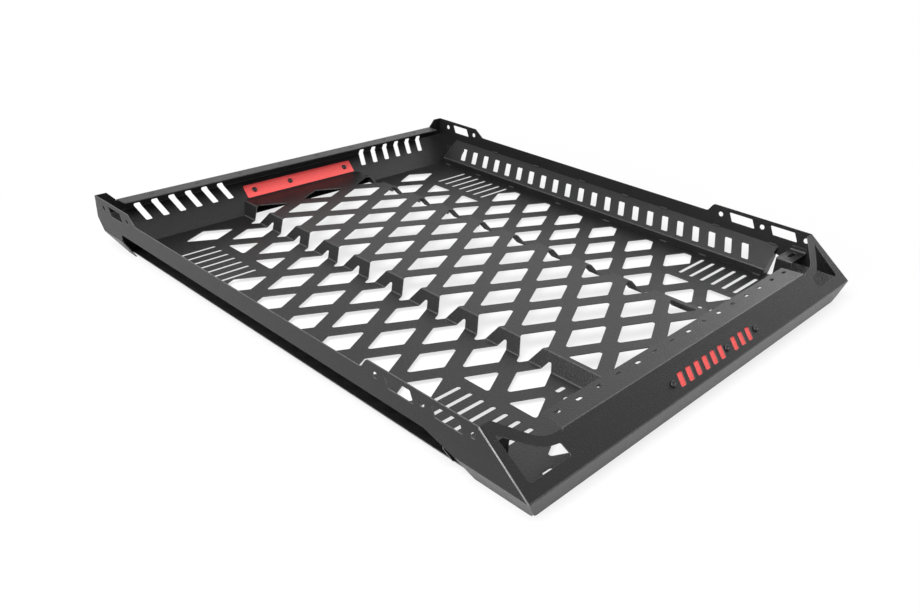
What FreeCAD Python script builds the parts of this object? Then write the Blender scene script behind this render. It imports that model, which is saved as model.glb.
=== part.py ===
import FreeCAD, Part
import os
import Sketcher

# Roof basket of folded steel sheet.  X runs across the basket, -Y is its front and the
# origin lies on the floor under the middle.  All lengths are in millimetres.
SIZES = (
    ("overall_length", 1184.0),
    ("overall_width", 1000.0),
    ("overall_height", 114.0),
    ("sheet", 2.0),
    # front: sloping face with a wing at each end, top flange and lower lip
    ("tip_height", 42.0),
    ("wing_run", 93.5),
    ("face_top", 78.5),
    ("flange_depth", 42.0),
    ("flange_half", 378.0),
    ("lip_run", 11.0),
    ("wing_top_half", 478.0),
    ("wing_waist_half", 432.5),
    ("wing_waist_rise", 12.4),
    ("wing_bend_half", 412.0),
    ("window_outer", 21.0),
    ("window_sill", 17.5),
    ("window_inner", 391.0),
    ("window_short", 17.5),
    ("window_bend", 424.0),
    ("window_bend_rise", 22.0),
    ("window_waist", 448.0),
    ("window_waist_rise", 36.0),
    ("window_peak_rise", 61.0),
    ("window_peak", 15.5),
    ("flange_slot_pitch", 50.4),
    ("flange_slot_count", 15),
    ("flange_slot_half", 4.0),
    ("flange_slot_radius", 3.0),
    ("flange_slot_inset", 13.0),
    ("vent_low", 50.0),
    ("vent_high", 64.0),
    ("vent_width", 15.0),
    ("vent_slant", 9.0),
    ("vent_pitch", 25.0),
    ("vent_first", -121.0),
    ("vent_left_count", 6),
    ("vent_second", 48.0),
    ("vent_right_count", 3),
    # side plates: ears, rail, arch between the feet and the lip that leans inward
    ("side_lean", 27.0),
    ("rail_height", 95.4),
    ("front_ear", 223.5),
    ("front_ear_step", 12.5),
    ("rear_ear", 140.0),
    ("rear_ear_slope", 27.0),
    ("arch_height", 59.0),
    ("arch_front", 195.0),
    ("arch_front_run", 63.0),
    ("arch_lip_run", 15.0),
    ("arch_rear", 101.0),
    ("arch_rear_run", 5.0),
    ("ear_hole_radius", 5.5),
    ("ear_hole_drop", 18.0),
    ("front_hole_first", 7.8),
    ("front_hole_pitch", 97.7),
    ("rear_hole_first", 35.5),
    ("rear_hole_pitch", 98.8),
    ("ear_window_length", 54.5),
    ("ear_window_height", 19.5),
    ("ear_window_drop", 8.0),
    ("ear_window_slant", 9.2),
    ("front_window_first", 34.0),
    ("front_window_pitch", 96.0),
    ("rear_window_length", 52.0),
    ("rear_window_first", 54.5),
    # rear wall: inward flange, upright part and lower part that leans outward
    ("rear_top", 96.0),
    ("rear_fold", 68.0),
    ("rear_foot", 8.0),
    ("rear_run", 60.0),
    ("rear_flange", 35.0),
    ("tab_top_half", 475.0),
    ("tab_foot_half", 458.0),
    ("rear_slot_first", 205.0),
    ("rear_slot_pitch", 40.4),
    ("rear_slot_count", 6),
    ("rear_slot_width", 15.5),
    ("rear_slot_slant", 14.5),
    ("rear_slot_low", 43.0),
    ("rear_slot_high", 77.5),
    ("dash_pitch", 110.0),
    ("dash_count", 8),
    ("dash_length", 14.0),
    ("dash_width", 3.5),
    # deck: raised middle, two lower sides and one lattice over all three
    ("deck_low", 10.0),
    ("deck_high", 35.5),
    ("deck_half", 474.0),
    ("fold_inner", 170.0),
    ("fold_outer", 188.0),
    ("fold_shift", 13.0),
    ("deck_middle", 573.0),
    ("pitch_x", 161.0),
    ("pitch_y", 100.0),
    ("opening_half_x", 61.0),
    ("opening_half_y", 30.0),
    ("opening_corner", 4.0),
    ("edge_limit", 432.0),
    ("comb_half_x", 381.5),
    ("comb_offset", 365.0),
    ("comb_pitch", 25.3),
    ("comb_count", 7),
    ("comb_length", 100.0),
    ("comb_width", 8.5),
    ("mount_slot_half", 6.5),
    ("mount_slot_radius", 4.5),
    ("inner_mount_half", 216.0),
    ("inner_mount_from_tip", 170.5),
    ("corner_mount_half", 394.0),
    ("corner_mount_from_tip", 50.5),
    # side liners: slotted incline with an upright foot
    ("liner_top", 67.5),
    ("liner_fold", 26.0),
    ("liner_foot_half", 451.0),
    ("liner_length", 959.5),
    ("liner_middle", 43.5),
    ("liner_slot_low", 32.5),
    ("liner_slot_high", 55.5),
    ("liner_slot_width", 16.0),
    ("liner_slot_slant", 17.0),
    ("liner_slot_pitch", 40.2),
    ("liner_slot_count", 22),
    # corner brackets and backing plates
    ("bracket_lip", 79.0),
    ("bracket_tab", 70.0),
    ("bracket_leg_half", 432.0),
    ("bracket_length", 34.0),
    ("bracket_inset", 18.0),
    ("bracket_slot_half", 11.0),
    ("bracket_slot_middle", 468.0),
    ("rear_plate_half", 158.0),
    ("rear_plate_low", 37.0),
    ("rear_plate_high", 57.0),
    ("rear_plate_bend", 5.0),
    ("rear_plate_hole", 49.0),
    ("front_plate_half", 152.0),
    ("front_plate_upper", 36.0),
    ("front_plate_lower", 6.0),
    ("bolt_height", 57.0),
    ("bolt_radius", 3.5),
    ("bolt_outer", 134.0),
    ("bolt_inner", 33.0),
)
COUNTS = {alias: int(value) for alias, value in SIZES if alias.endswith("_count")}
MARGIN = 20.0

doc = FreeCAD.newDocument("RoofBasket")
sheet_cells = doc.addObject("Spreadsheet::Sheet", "dims")
for row, (alias, value) in enumerate(SIZES, start=1):
    sheet_cells.set(f"A{row}", alias)
    sheet_cells.set(f"B{row}", str(value))
    sheet_cells.setAlias(f"B{row}", alias)
doc.recompute()


class Size:
    """A length together with the sheet expression that gives it."""

    def __init__(self, value, text):
        self.value = float(value)
        self.text = text

    @staticmethod
    def of(item):
        if isinstance(item, Size):
            return item
        return Size(item, f"({item})")

    def __add__(self, other):
        other = Size.of(other)
        return Size(self.value + other.value, f"({self.text} + {other.text})")

    def __sub__(self, other):
        other = Size.of(other)
        return Size(self.value - other.value, f"({self.text} - {other.text})")

    def __mul__(self, other):
        other = Size.of(other)
        return Size(self.value * other.value, f"({self.text} * {other.text})")

    def __truediv__(self, other):
        other = Size.of(other)
        return Size(self.value / other.value, f"({self.text} / {other.text})")

    def __neg__(self):
        return Size(-self.value, f"(0 - {self.text})")

    def root(self):
        return Size(self.value ** 0.5, f"sqrt({self.text})")


S = {alias: Size(value, f"dims.{alias}") for alias, value in SIZES}

# lines that several pieces share
half_width = S["overall_width"] / 2
inner_half = half_width - S["sheet"]
front_tip = -(S["overall_length"] / 2)
rear_end = S["overall_length"] / 2
ear_front = front_tip + S["wing_run"]
face_rise = S["overall_height"] - S["tip_height"]
face_fold = front_tip + S["wing_run"] * (S["face_top"] - S["tip_height"]) / face_rise
deck_middle = front_tip + S["deck_middle"]
NONE = Size(0.0, "0")


def stretch(run, rise):
    """Sheet thickness measured level across a sheet that leans by run over rise."""
    ratio = run / rise
    return S["sheet"] * (ratio * ratio + 1).root()


lip_level = stretch(S["lip_run"], S["tip_height"])
lean_level = stretch(S["side_lean"], S["tip_height"])
rear_level = stretch(S["rear_run"], S["rear_fold"] - S["rear_foot"])


def new_body(label):
    body = doc.addObject("PartDesign::Body", label)
    body.Label = label
    return body


def sketch_on(body, name, role, shift=None):
    """Sketch on one of the body's own base planes, moved along its normal by shift."""
    sketch = body.newObject("Sketcher::SketchObject", name)
    plane = [item for item in body.Origin.OriginFeatures if item.Role == role][0]
    sketch.AttachmentSupport = [(plane, "")]
    sketch.MapMode = "FlatFace"
    if shift is not None:
        sketch.setExpression("AttachmentOffset.Base.z", shift.text)
    return sketch


def bind(sketch, kind, geo, pos, size):
    """Dimension one point from the sketch origin."""
    index = sketch.addConstraint(Sketcher.Constraint(kind, -1, 1, geo, pos, size.value))
    sketch.setExpression(f"Constraints[{index}]", size.text)


def bind_point(sketch, geo, pos, point):
    bind(sketch, "DistanceX", geo, pos, point[0])
    bind(sketch, "DistanceY", geo, pos, point[1])


def draw_loop(sketch, corners):
    """Closed loop of lines through numeric corners; returns the first line's index."""
    first = sketch.GeometryCount
    count = len(corners)
    lines = []
    for i in range(count):
        start = FreeCAD.Vector(corners[i][0], corners[i][1], 0)
        end = FreeCAD.Vector(corners[(i + 1) % count][0], corners[(i + 1) % count][1], 0)
        lines.append(Part.LineSegment(start, end))
    sketch.addGeometry(lines, False)
    joints = []
    for i in range(count):
        joints.append(Sketcher.Constraint("Coincident", first + i, 2, first + (i + 1) % count, 1))
    sketch.addConstraint(joints)
    return first


def polygon(sketch, points):
    """Closed outline with every corner dimensioned."""
    first = draw_loop(sketch, [(x.value, y.value) for x, y in points])
    for i, point in enumerate(points):
        bind_point(sketch, first + i, 1, point)


def mirrored(points):
    return [(-x, y) for x, y in points]


def both_sides(sketch, points):
    polygon(sketch, points)
    polygon(sketch, mirrored(points))


def circle(sketch, point, radius):
    centre = FreeCAD.Vector(point[0].value, point[1].value, 0)
    normal = FreeCAD.Vector(0, 0, 1)
    index = sketch.addGeometry(Part.Circle(centre, normal, radius.value), False)
    bind_point(sketch, index, 3, point)
    fixed = sketch.addConstraint(Sketcher.Constraint("Radius", index, radius.value))
    sketch.setExpression(f"Constraints[{fixed}]", radius.text)


def oval(sketch, point, half, radius):
    """Slot with round ends along the sketch's first axis."""
    normal = FreeCAD.Vector(0, 0, 1)
    right_angle = 1.5707963267948966
    ends = []
    for sign in (-1, 1):
        place = (point[0] + half * sign, point[1])
        ring = Part.Circle(FreeCAD.Vector(place[0].value, place[1].value, 0), normal, radius.value)
        start = right_angle if sign < 0 else -right_angle
        arc = sketch.addGeometry(Part.ArcOfCircle(ring, start, start + 2 * right_angle), False)
        bind_point(sketch, arc, 3, place)
        fixed = sketch.addConstraint(Sketcher.Constraint("Radius", arc, radius.value))
        sketch.setExpression(f"Constraints[{fixed}]", radius.text)
        sketch.addConstraint(Sketcher.Constraint("Vertical", arc, 3, arc, 1))
        sketch.addConstraint(Sketcher.Constraint("Vertical", arc, 3, arc, 2))
        ends.append(arc)
    for start_arc, end_arc in (ends, ends[::-1]):
        start = sketch.getPoint(start_arc, 2)
        end = sketch.getPoint(end_arc, 1)
        line = sketch.addGeometry(Part.LineSegment(start, end), False)
        sketch.addConstraint(Sketcher.Constraint("Coincident", line, 1, start_arc, 2))
        sketch.addConstraint(Sketcher.Constraint("Coincident", line, 2, end_arc, 1))


def offset_corners(points, distance):
    """Numeric corners of the line through points moved to its left by distance."""
    turns = []
    for (ax, ay), (bx, by) in zip(points, points[1:]):
        length = ((bx - ax) ** 2 + (by - ay) ** 2) ** 0.5
        turns.append(((ay - by) / length, (bx - ax) / length))
    moved = []
    for i, (x, y) in enumerate(points):
        before = turns[max(i - 1, 0)]
        after = turns[min(i, len(turns) - 1)]
        share = 1 + before[0] * after[0] + before[1] * after[1]
        moved.append((x + distance * (before[0] + after[0]) / share,
                      y + distance * (before[1] + after[1]) / share))
    return moved


def cap_corner(points, moved, kind):
    """Numeric corner that closes the sheet's end square, upright or level."""
    (ax, ay), (bx, by) = points
    (cx, cy), (dx, dy) = moved
    if kind == "Vertical":
        part = (ax - cx) / (dx - cx)
        return ax, cy + part * (dy - cy)
    if kind == "Horizontal":
        part = (ay - cy) / (dy - cy)
        return cx + part * (dx - cx), ay
    return cx, cy


def folded(sketch, points, side, caps=("Perpendicular", "Perpendicular")):
    """Outline of a folded sheet: points lie on its face, the thickness goes to one side.

    The face corners are dimensioned; every inner corner is held at the sheet thickness
    from the face lines next to it, and each end is closed square, upright or level.
    """
    face = [(x.value, y.value) for x, y in points]
    back = offset_corners(face, S["sheet"].value * side)
    back[0] = cap_corner(face[:2], back[:2], caps[0])
    back[-1] = cap_corner(face[:-3:-1], back[:-3:-1], caps[1])
    last = len(points) - 1
    first = draw_loop(sketch, face + back[::-1])
    for i, point in enumerate(points):
        bind_point(sketch, first + i, 1, point)
    for i in range(last + 1):
        corner = first + 2 * last + 1 - i
        for line in {max(i - 1, 0), min(i, last - 1)}:
            rule = Sketcher.Constraint("Distance", corner, 1, first + line, S["sheet"].value)
            index = sketch.addConstraint(rule)
            sketch.setExpression(f"Constraints[{index}]", S["sheet"].text)
    for cap, line, kind in ((first + 2 * last + 1, first, caps[0]), (first + last, first + last - 1, caps[1])):
        if kind == "Perpendicular":
            sketch.addConstraint(Sketcher.Constraint(kind, cap, line))
        else:
            sketch.addConstraint(Sketcher.Constraint(kind, cap))


def pad(body, sketch, length):
    """Solid to both sides of the sketch plane."""
    feature = body.newObject("PartDesign::Pad", "Pad")
    feature.Profile = sketch
    feature.SideType = "Symmetric"
    feature.setExpression("Length", length.text)
    doc.recompute()
    return feature


def pocket(body, sketch, depth=None):
    """Cut right through both ways, or to a depth shared by the two sides."""
    before = body.Shape.Volume
    feature = body.newObject("PartDesign::Pocket", "Pocket")
    feature.Profile = sketch
    if depth is None:
        feature.SideType = "Two sides"
        feature.Type = "ThroughAll"
        feature.Type2 = "ThroughAll"
    else:
        feature.SideType = "Symmetric"
        feature.setExpression("Length", depth.text)
    doc.recompute()
    if not body.Shape.Volume < before - 1.0:
        raise RuntimeError(f"{body.Label}: {sketch.Name} cuts nothing")
    return feature


def repeat(body, feature, sketch, axis, pitch, count):
    """Row of the feature along one axis of its sketch."""
    row = body.newObject("PartDesign::LinearPattern", "Row")
    row.Originals = [feature]
    row.Direction = (sketch, [axis])
    row.setExpression("Length", f"{pitch.text} * {count - 1}")
    row.Occurrences = count
    body.Tip = row
    doc.recompute()
    return row


def trim_to_lean(body):
    """Cut both ends along the inner faces of the side plates' leaning lips."""
    foot = half_width - lean_level
    sketch = sketch_on(body, "LeanTrim", "XZ_Plane")
    both_sides(sketch, [
        (foot - S["side_lean"] * 2, -S["tip_height"]),
        (foot + S["side_lean"], S["tip_height"] * 2),
        (S["overall_width"], S["tip_height"] * 2),
        (S["overall_width"], -S["tip_height"]),
    ])
    pocket(body, sketch)


def diamond(centre_x, centre_y, outer=None, half=False):
    """Lattice opening; half keeps the side towards the middle, outer limits the far side."""
    reach = S["opening_half_x"] - S["opening_corner"]
    tip = S["opening_half_y"] * S["opening_corner"] / S["opening_half_x"]
    points = [
        (centre_x - reach, centre_y + tip),
        (centre_x - reach, centre_y - tip),
        (centre_x, centre_y - S["opening_half_y"]),
    ]
    if half:
        return points + [(centre_x, centre_y + S["opening_half_y"])]
    if outer is not None:
        part = (centre_x + S["opening_half_x"] - outer) / S["opening_half_x"]
        reach = outer - centre_x
        tip = S["opening_half_y"] * part
    return points + [
        (centre_x + reach, centre_y - tip),
        (centre_x + reach, centre_y + tip),
        (centre_x, centre_y + S["opening_half_y"]),
    ]


def lattice_row(body, name, centre_x, steps, count, outer=None, half=False):
    """Row of openings on both sides of the middle, starting steps pitches before it."""
    sketch = sketch_on(body, name, "XY_Plane")
    first = deck_middle - S["pitch_y"] * steps
    points = diamond(centre_x, first, outer, half)
    polygon(sketch, points)
    if centre_x.value > 0:
        polygon(sketch, mirrored(points))
    cut = pocket(body, sketch)
    if count > 1:
        repeat(body, cut, sketch, "V_Axis", S["pitch_y"], count)


def lattice_ends(body, name, centre_x, steps, half=False):
    """One opening on both sides at each end of the deck."""
    sketch = sketch_on(body, name, "XY_Plane")
    for sign in (-1, 1):
        both_sides(sketch, diamond(centre_x, deck_middle + S["pitch_y"] * (steps * sign), None, half))
    pocket(body, sketch)


def build_deck():
    body = new_body("deck")
    profile = sketch_on(body, "DeckProfile", "XZ_Plane")
    folded(profile, [
        (-S["deck_half"], S["deck_low"]),
        (-S["fold_outer"], S["deck_low"]),
        (-S["fold_inner"], S["deck_high"]),
        (S["fold_inner"], S["deck_high"]),
        (S["fold_outer"], S["deck_low"]),
        (S["deck_half"], S["deck_low"]),
    ], side=-1)
    pad(body, profile, S["overall_length"])

    ends = sketch_on(body, "DeckEnds", "YZ_Plane")
    polygon(ends, [
        (front_tip + lip_level, S["tip_height"]),
        (front_tip + S["lip_run"] + lip_level, NONE),
        (front_tip - MARGIN, NONE),
        (front_tip - MARGIN, S["tip_height"]),
    ])
    polygon(ends, [
        (rear_end - rear_level, S["rear_fold"]),
        (rear_end - S["rear_run"] - rear_level, S["rear_foot"]),
        (rear_end - S["rear_run"] - rear_level, S["rear_foot"] - MARGIN),
        (rear_end + MARGIN, S["rear_foot"] - MARGIN),
        (rear_end + MARGIN, S["rear_fold"]),
    ])
    pocket(body, ends)

    pitch = S["pitch_x"]
    lattice_row(body, "MiddleRow", NONE, 5, 11)
    lattice_row(body, "InnerRow", pitch * 0.5, 4.5, 10)
    lattice_row(body, "FoldRow", pitch, 3, 9)
    lattice_row(body, "FoldHalves", pitch, 4, 1, half=True)
    lattice_row(body, "LowerRow", pitch * 1.5 - S["fold_shift"], 4.5, 10)
    lattice_row(body, "SideRow", pitch * 2 - S["fold_shift"], 2, 5)
    lattice_ends(body, "SideHalvesInner", pitch * 2 - S["fold_shift"], 3, half=True)
    lattice_ends(body, "SideHalvesOuter", pitch * 2 - S["fold_shift"], 4, half=True)
    lattice_ends(body, "SideEnds", pitch * 2 - S["fold_shift"], 5)
    lattice_row(body, "EdgeRow", pitch * 2.5 - S["fold_shift"], 2.5, 6, outer=S["edge_limit"])

    comb = sketch_on(body, "CombSlots", "XY_Plane")
    spread = S["comb_pitch"] * ((COUNTS["comb_count"] - 1) / 2)
    for sign in (-1, 1):
        first = deck_middle + S["comb_offset"] * sign - spread
        both_sides(comb, [
            (S["comb_half_x"] - S["comb_length"] / 2, first - S["comb_width"] / 2),
            (S["comb_half_x"] + S["comb_length"] / 2, first - S["comb_width"] / 2),
            (S["comb_half_x"] + S["comb_length"] / 2, first + S["comb_width"] / 2),
            (S["comb_half_x"] - S["comb_length"] / 2, first + S["comb_width"] / 2),
        ])
    cut = pocket(body, comb)
    repeat(body, cut, comb, "V_Axis", S["comb_pitch"], COUNTS["comb_count"])

    mounts = sketch_on(body, "MountSlots", "XY_Plane")
    for sign in (-1, 1):
        inner = (S["inner_mount_half"] * sign, front_tip + S["inner_mount_from_tip"])
        corner = (S["corner_mount_half"] * sign, front_tip + S["corner_mount_from_tip"])
        oval(mounts, inner, S["mount_slot_half"], S["mount_slot_radius"])
        oval(mounts, corner, S["mount_slot_half"], S["mount_slot_radius"])
    pocket(body, mounts)
    return body


def build_front_fascia():
    body = new_body("front_fascia")
    lower = [(front_tip, S["tip_height"]), (front_tip + S["lip_run"], NONE)]
    wings = sketch_on(body, "WingProfile", "YZ_Plane")
    folded(wings, [(ear_front, S["overall_height"])] + lower, side=1, caps=("Perpendicular", "Horizontal"))
    pad(body, wings, inner_half * 2)

    middle = sketch_on(body, "WingEdges", "XY_Plane")
    edge = [
        (S["flange_half"], face_fold),
        (S["wing_bend_half"], face_fold + S["wing_waist_rise"] / 5),
        (S["wing_waist_half"], face_fold + S["wing_waist_rise"]),
        (S["wing_top_half"], ear_front),
        (S["wing_top_half"], ear_front + MARGIN),
    ]
    polygon(middle, edge + mirrored(edge)[::-1])
    pocket(body, middle)

    flange = sketch_on(body, "FlangeProfile", "YZ_Plane")
    top = [(face_fold + S["flange_depth"], S["face_top"]), (face_fold, S["face_top"])]
    folded(flange, top + lower, side=1, caps=("Perpendicular", "Horizontal"))
    pad(body, flange, S["flange_half"] * 2)
    trim_to_lean(body)

    windows = sketch_on(body, "WingWindows", "XY_Plane")
    sill = front_tip + S["window_sill"]
    both_sides(windows, [
        (half_width - S["window_outer"], sill),
        (half_width - S["window_peak"], sill + S["window_peak_rise"]),
        (S["window_waist"], sill + S["window_waist_rise"]),
        (S["window_bend"], sill + S["window_bend_rise"]),
        (S["window_inner"] + S["sheet"] * 2, sill + S["window_short"]),
        (S["window_inner"], sill),
    ])
    pocket(body, windows)

    slots = sketch_on(body, "FlangeSlots", "XY_Plane")
    count = COUNTS["flange_slot_count"]
    first = S["flange_slot_pitch"] * (-(count - 1) / 2)
    row = face_fold + S["flange_depth"] - S["flange_slot_inset"]
    oval(slots, (first, row), S["flange_slot_half"], S["flange_slot_radius"])
    cut = pocket(body, slots)
    repeat(body, cut, slots, "H_Axis", S["flange_slot_pitch"], count)

    for name, start, total in (("VentLeft", S["vent_first"], COUNTS["vent_left_count"]),
                               ("VentRight", S["vent_second"], COUNTS["vent_right_count"])):
        vent = sketch_on(body, name, "XZ_Plane")
        polygon(vent, [
            (start, S["vent_low"]),
            (start + S["vent_width"], S["vent_low"]),
            (start + S["vent_width"] + S["vent_slant"], S["vent_high"]),
            (start + S["vent_slant"], S["vent_high"]),
        ])
        cut = pocket(body, vent)
        repeat(body, cut, vent, "H_Axis", S["vent_pitch"], total)

    bolts = sketch_on(body, "FaceBolts", "XZ_Plane")
    for place in (-S["bolt_outer"], S["bolt_inner"], S["bolt_outer"]):
        circle(bolts, (place, S["bolt_height"]), S["bolt_radius"])
    pocket(body, bolts)
    return body


def build_rear_wall():
    body = new_body("rear_wall")
    profile = sketch_on(body, "RearProfile", "YZ_Plane")
    folded(profile, [
        (rear_end - S["rear_flange"], S["rear_top"]),
        (rear_end, S["rear_top"]),
        (rear_end, S["rear_fold"]),
        (rear_end - S["rear_run"], S["rear_foot"]),
    ], side=-1, caps=("Perpendicular", "Horizontal"))
    pad(body, profile, inner_half * 2)

    tabs = sketch_on(body, "EndTabs", "XZ_Plane", S["sheet"] / 2 - rear_end)
    both_sides(tabs, [
        (S["tab_foot_half"], S["rear_top"] - S["sheet"]),
        (inner_half, S["rear_top"] - S["sheet"]),
        (inner_half, S["overall_height"]),
        (S["tab_top_half"], S["overall_height"]),
        (S["tab_foot_half"], S["rear_top"]),
    ])
    pad(body, tabs, S["sheet"])
    trim_to_lean(body)

    low = S["rear_slot_first"] - S["rear_slot_slant"]
    high = S["rear_slot_first"]
    for sign in (-1, 1):
        slots = sketch_on(body, "EndSlots", "XZ_Plane")
        polygon(slots, [
            (low * sign, S["rear_slot_low"]),
            ((low + S["rear_slot_width"]) * sign, S["rear_slot_low"]),
            ((high + S["rear_slot_width"]) * sign, S["rear_slot_high"]),
            (high * sign, S["rear_slot_high"]),
        ])
        cut = pocket(body, slots)
        row = repeat(body, cut, slots, "H_Axis", S["rear_slot_pitch"], COUNTS["rear_slot_count"])
        row.Reversed = sign < 0
        doc.recompute()

    dashes = sketch_on(body, "FlangeDashes", "XY_Plane", S["rear_top"])
    count = COUNTS["dash_count"]
    middle = S["dash_pitch"] * (-(count - 1) / 2)
    line = rear_end - S["rear_flange"] / 2
    polygon(dashes, [
        (middle - S["dash_length"] / 2, line - S["dash_width"] / 2),
        (middle + S["dash_length"] / 2, line - S["dash_width"] / 2),
        (middle + S["dash_length"] / 2, line + S["dash_width"] / 2),
        (middle - S["dash_length"] / 2, line + S["dash_width"] / 2),
    ])
    cut = pocket(body, dashes, S["sheet"] * 4)
    repeat(body, cut, dashes, "H_Axis", S["dash_pitch"], count)
    return body


def ear_window(front_y, length):
    top = S["overall_height"] - S["ear_window_drop"]
    low = top - S["ear_window_height"]
    return [
        (front_y, top),
        (front_y + length, top),
        (front_y + length - S["ear_window_slant"], low),
        (front_y - S["ear_window_slant"], low),
    ]


def build_side_plate(label, sign):
    body = new_body(label)
    profile = sketch_on(body, "SideProfile", "XZ_Plane")
    folded(profile, [
        (half_width * sign, S["overall_height"]),
        (half_width * sign, S["tip_height"]),
        ((half_width - S["side_lean"]) * sign, NONE),
    ], side=-sign, caps=("Perpendicular", "Horizontal"))
    pad(body, profile, S["overall_length"])

    above = S["overall_height"] + MARGIN
    below = NONE - MARGIN
    step_top = ear_front + S["front_ear"]
    slope_top = rear_end - S["rear_ear"]
    rear_toe = rear_end - S["rear_run"] * S["rear_fold"] / (S["rear_fold"] - S["rear_foot"])
    arch_front = front_tip + S["arch_front"]
    arch_rear = rear_end - S["arch_rear"]
    outline = sketch_on(body, "SideOutline", "YZ_Plane")
    polygon(outline, [
        (ear_front, S["overall_height"]),
        (front_tip, S["tip_height"]),
        (front_tip + S["lip_run"], NONE),
        (front_tip + S["lip_run"], below),
        (front_tip - MARGIN, below),
        (front_tip - MARGIN, above),
        (ear_front, above),
    ])
    polygon(outline, [
        (rear_end, S["rear_fold"]),
        (rear_toe, NONE),
        (rear_toe, below),
        (rear_end + MARGIN, below),
        (rear_end + MARGIN, S["rear_fold"]),
    ])
    polygon(outline, [
        (step_top + S["front_ear_step"], S["rail_height"]),
        (step_top, S["overall_height"]),
        (step_top, above),
        (slope_top, above),
        (slope_top, S["overall_height"]),
        (slope_top - S["rear_ear_slope"], S["rail_height"]),
    ])
    polygon(outline, [
        (arch_front, S["arch_height"]),
        (arch_front - S["arch_front_run"], S["tip_height"]),
        (arch_front - S["arch_front_run"] - S["arch_lip_run"], NONE),
        (arch_front - S["arch_front_run"] - S["arch_lip_run"], below),
        (arch_rear + S["arch_rear_run"], below),
        (arch_rear + S["arch_rear_run"], NONE),
        (arch_rear, S["arch_height"]),
    ])
    pocket(body, outline)

    openings = sketch_on(body, "EarOpenings", "YZ_Plane")
    level = S["overall_height"] - S["ear_hole_drop"]
    for step in range(3):
        place = ear_front + S["front_hole_first"] + S["front_hole_pitch"] * step
        circle(openings, (place, level), S["ear_hole_radius"])
    for step in range(2):
        place = rear_end - S["rear_hole_first"] - S["rear_hole_pitch"] * step
        circle(openings, (place, level), S["ear_hole_radius"])
        front = ear_front + S["front_window_first"] + S["front_window_pitch"] * step
        polygon(openings, ear_window(front, S["ear_window_length"]))
    rear_front = rear_end - S["rear_window_first"] - S["rear_window_length"]
    polygon(openings, ear_window(rear_front, S["rear_window_length"]))
    pocket(body, openings)
    return body


def build_liner(label, sign):
    body = new_body(label)
    profile = sketch_on(body, "LinerProfile", "XZ_Plane", -S["liner_middle"])
    folded(profile, [
        (inner_half * sign, S["liner_top"]),
        (S["liner_foot_half"] * sign, S["liner_fold"]),
        (S["liner_foot_half"] * sign, S["deck_low"]),
    ], side=sign, caps=("Vertical", "Horizontal"))
    pad(body, profile, S["liner_length"])

    clear = inner_half - S["sheet"] / 4
    toe = clear - S["side_lean"] * (S["tip_height"] - S["deck_low"]) / S["tip_height"]
    for end in (-1, 1):
        place = S["liner_middle"] + (S["liner_length"] - S["sheet"]) / 2 * end
        cap = sketch_on(body, "EndCap", "XZ_Plane", -place)
        polygon(cap, [
            (inner_half * sign, S["liner_top"]),
            (S["liner_foot_half"] * sign, S["liner_fold"]),
            (S["liner_foot_half"] * sign, S["deck_low"]),
            (toe * sign, S["deck_low"]),
            (clear * sign, S["tip_height"]),
        ])
        pad(body, cap, S["sheet"])

    slots = sketch_on(body, "LinerSlots", "YZ_Plane")
    count = COUNTS["liner_slot_count"]
    middle = S["liner_middle"] - S["liner_slot_pitch"] * ((count - 1) / 2)
    low = middle - S["liner_slot_slant"] / 2 - S["liner_slot_width"] / 2
    high = middle + S["liner_slot_slant"] / 2 - S["liner_slot_width"] / 2
    polygon(slots, [
        (low, S["liner_slot_low"]),
        (low + S["liner_slot_width"], S["liner_slot_low"]),
        (high + S["liner_slot_width"], S["liner_slot_high"]),
        (high, S["liner_slot_high"]),
    ])
    cut = pocket(body, slots)
    repeat(body, cut, slots, "H_Axis", S["liner_slot_pitch"], count)
    return body


def build_bracket(label, sign):
    body = new_body(label)
    place = ear_front + S["bracket_inset"]
    profile = sketch_on(body, "BracketProfile", "XZ_Plane", -place)
    inner = (inner_half - S["sheet"]) * sign
    leg = S["bracket_leg_half"] * sign
    folded(profile, [
        (inner, S["bracket_lip"]),
        (inner, S["bracket_tab"]),
        (leg, S["bracket_tab"]),
        (leg, S["deck_low"]),
    ], side=sign)
    pad(body, profile, S["bracket_length"])
    slot = sketch_on(body, "BracketSlot", "XY_Plane")
    middle = (S["bracket_slot_middle"] * sign, place)
    oval(slot, middle, S["bracket_slot_half"], S["mount_slot_radius"])
    pocket(body, slot)
    return body


def build_rear_plate():
    body = new_body("backing_plate_rear")
    slope = S["rear_run"] / (S["rear_fold"] - S["rear_foot"])
    seat = rear_end - rear_level
    profile = sketch_on(body, "RearPlateProfile", "YZ_Plane")
    bend = seat - slope * (S["rear_fold"] - S["rear_plate_high"])
    folded(profile, [
        (seat - slope * (S["rear_fold"] - S["rear_plate_low"]), S["rear_plate_low"]),
        (bend, S["rear_plate_high"]),
        (bend, S["rear_plate_high"] + S["rear_plate_bend"]),
    ], side=1)
    pad(body, profile, S["rear_plate_half"] * 2)
    holes = sketch_on(body, "RearPlateHoles", "XZ_Plane")
    for place in (-S["bolt_outer"], -S["bolt_inner"], S["bolt_outer"]):
        circle(holes, (place, S["rear_plate_hole"]), S["bolt_radius"])
    pocket(body, holes)
    return body


def build_front_plate():
    body = new_body("backing_plate_front")
    slope = face_rise / S["wing_run"]
    drop = stretch(face_rise, S["wing_run"])
    profile = sketch_on(body, "FrontPlateProfile", "YZ_Plane")
    points = []
    for run in (S["front_plate_upper"], S["front_plate_lower"]):
        points.append((front_tip + run, S["tip_height"] + slope * run - drop))
    folded(profile, points, side=1)
    pad(body, profile, S["front_plate_half"] * 2)
    holes = sketch_on(body, "FrontPlateHoles", "XZ_Plane")
    for place in (-S["bolt_outer"], S["bolt_inner"], S["bolt_outer"]):
        circle(holes, (place, S["bolt_height"]), S["bolt_radius"])
    pocket(body, holes)
    return body


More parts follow.
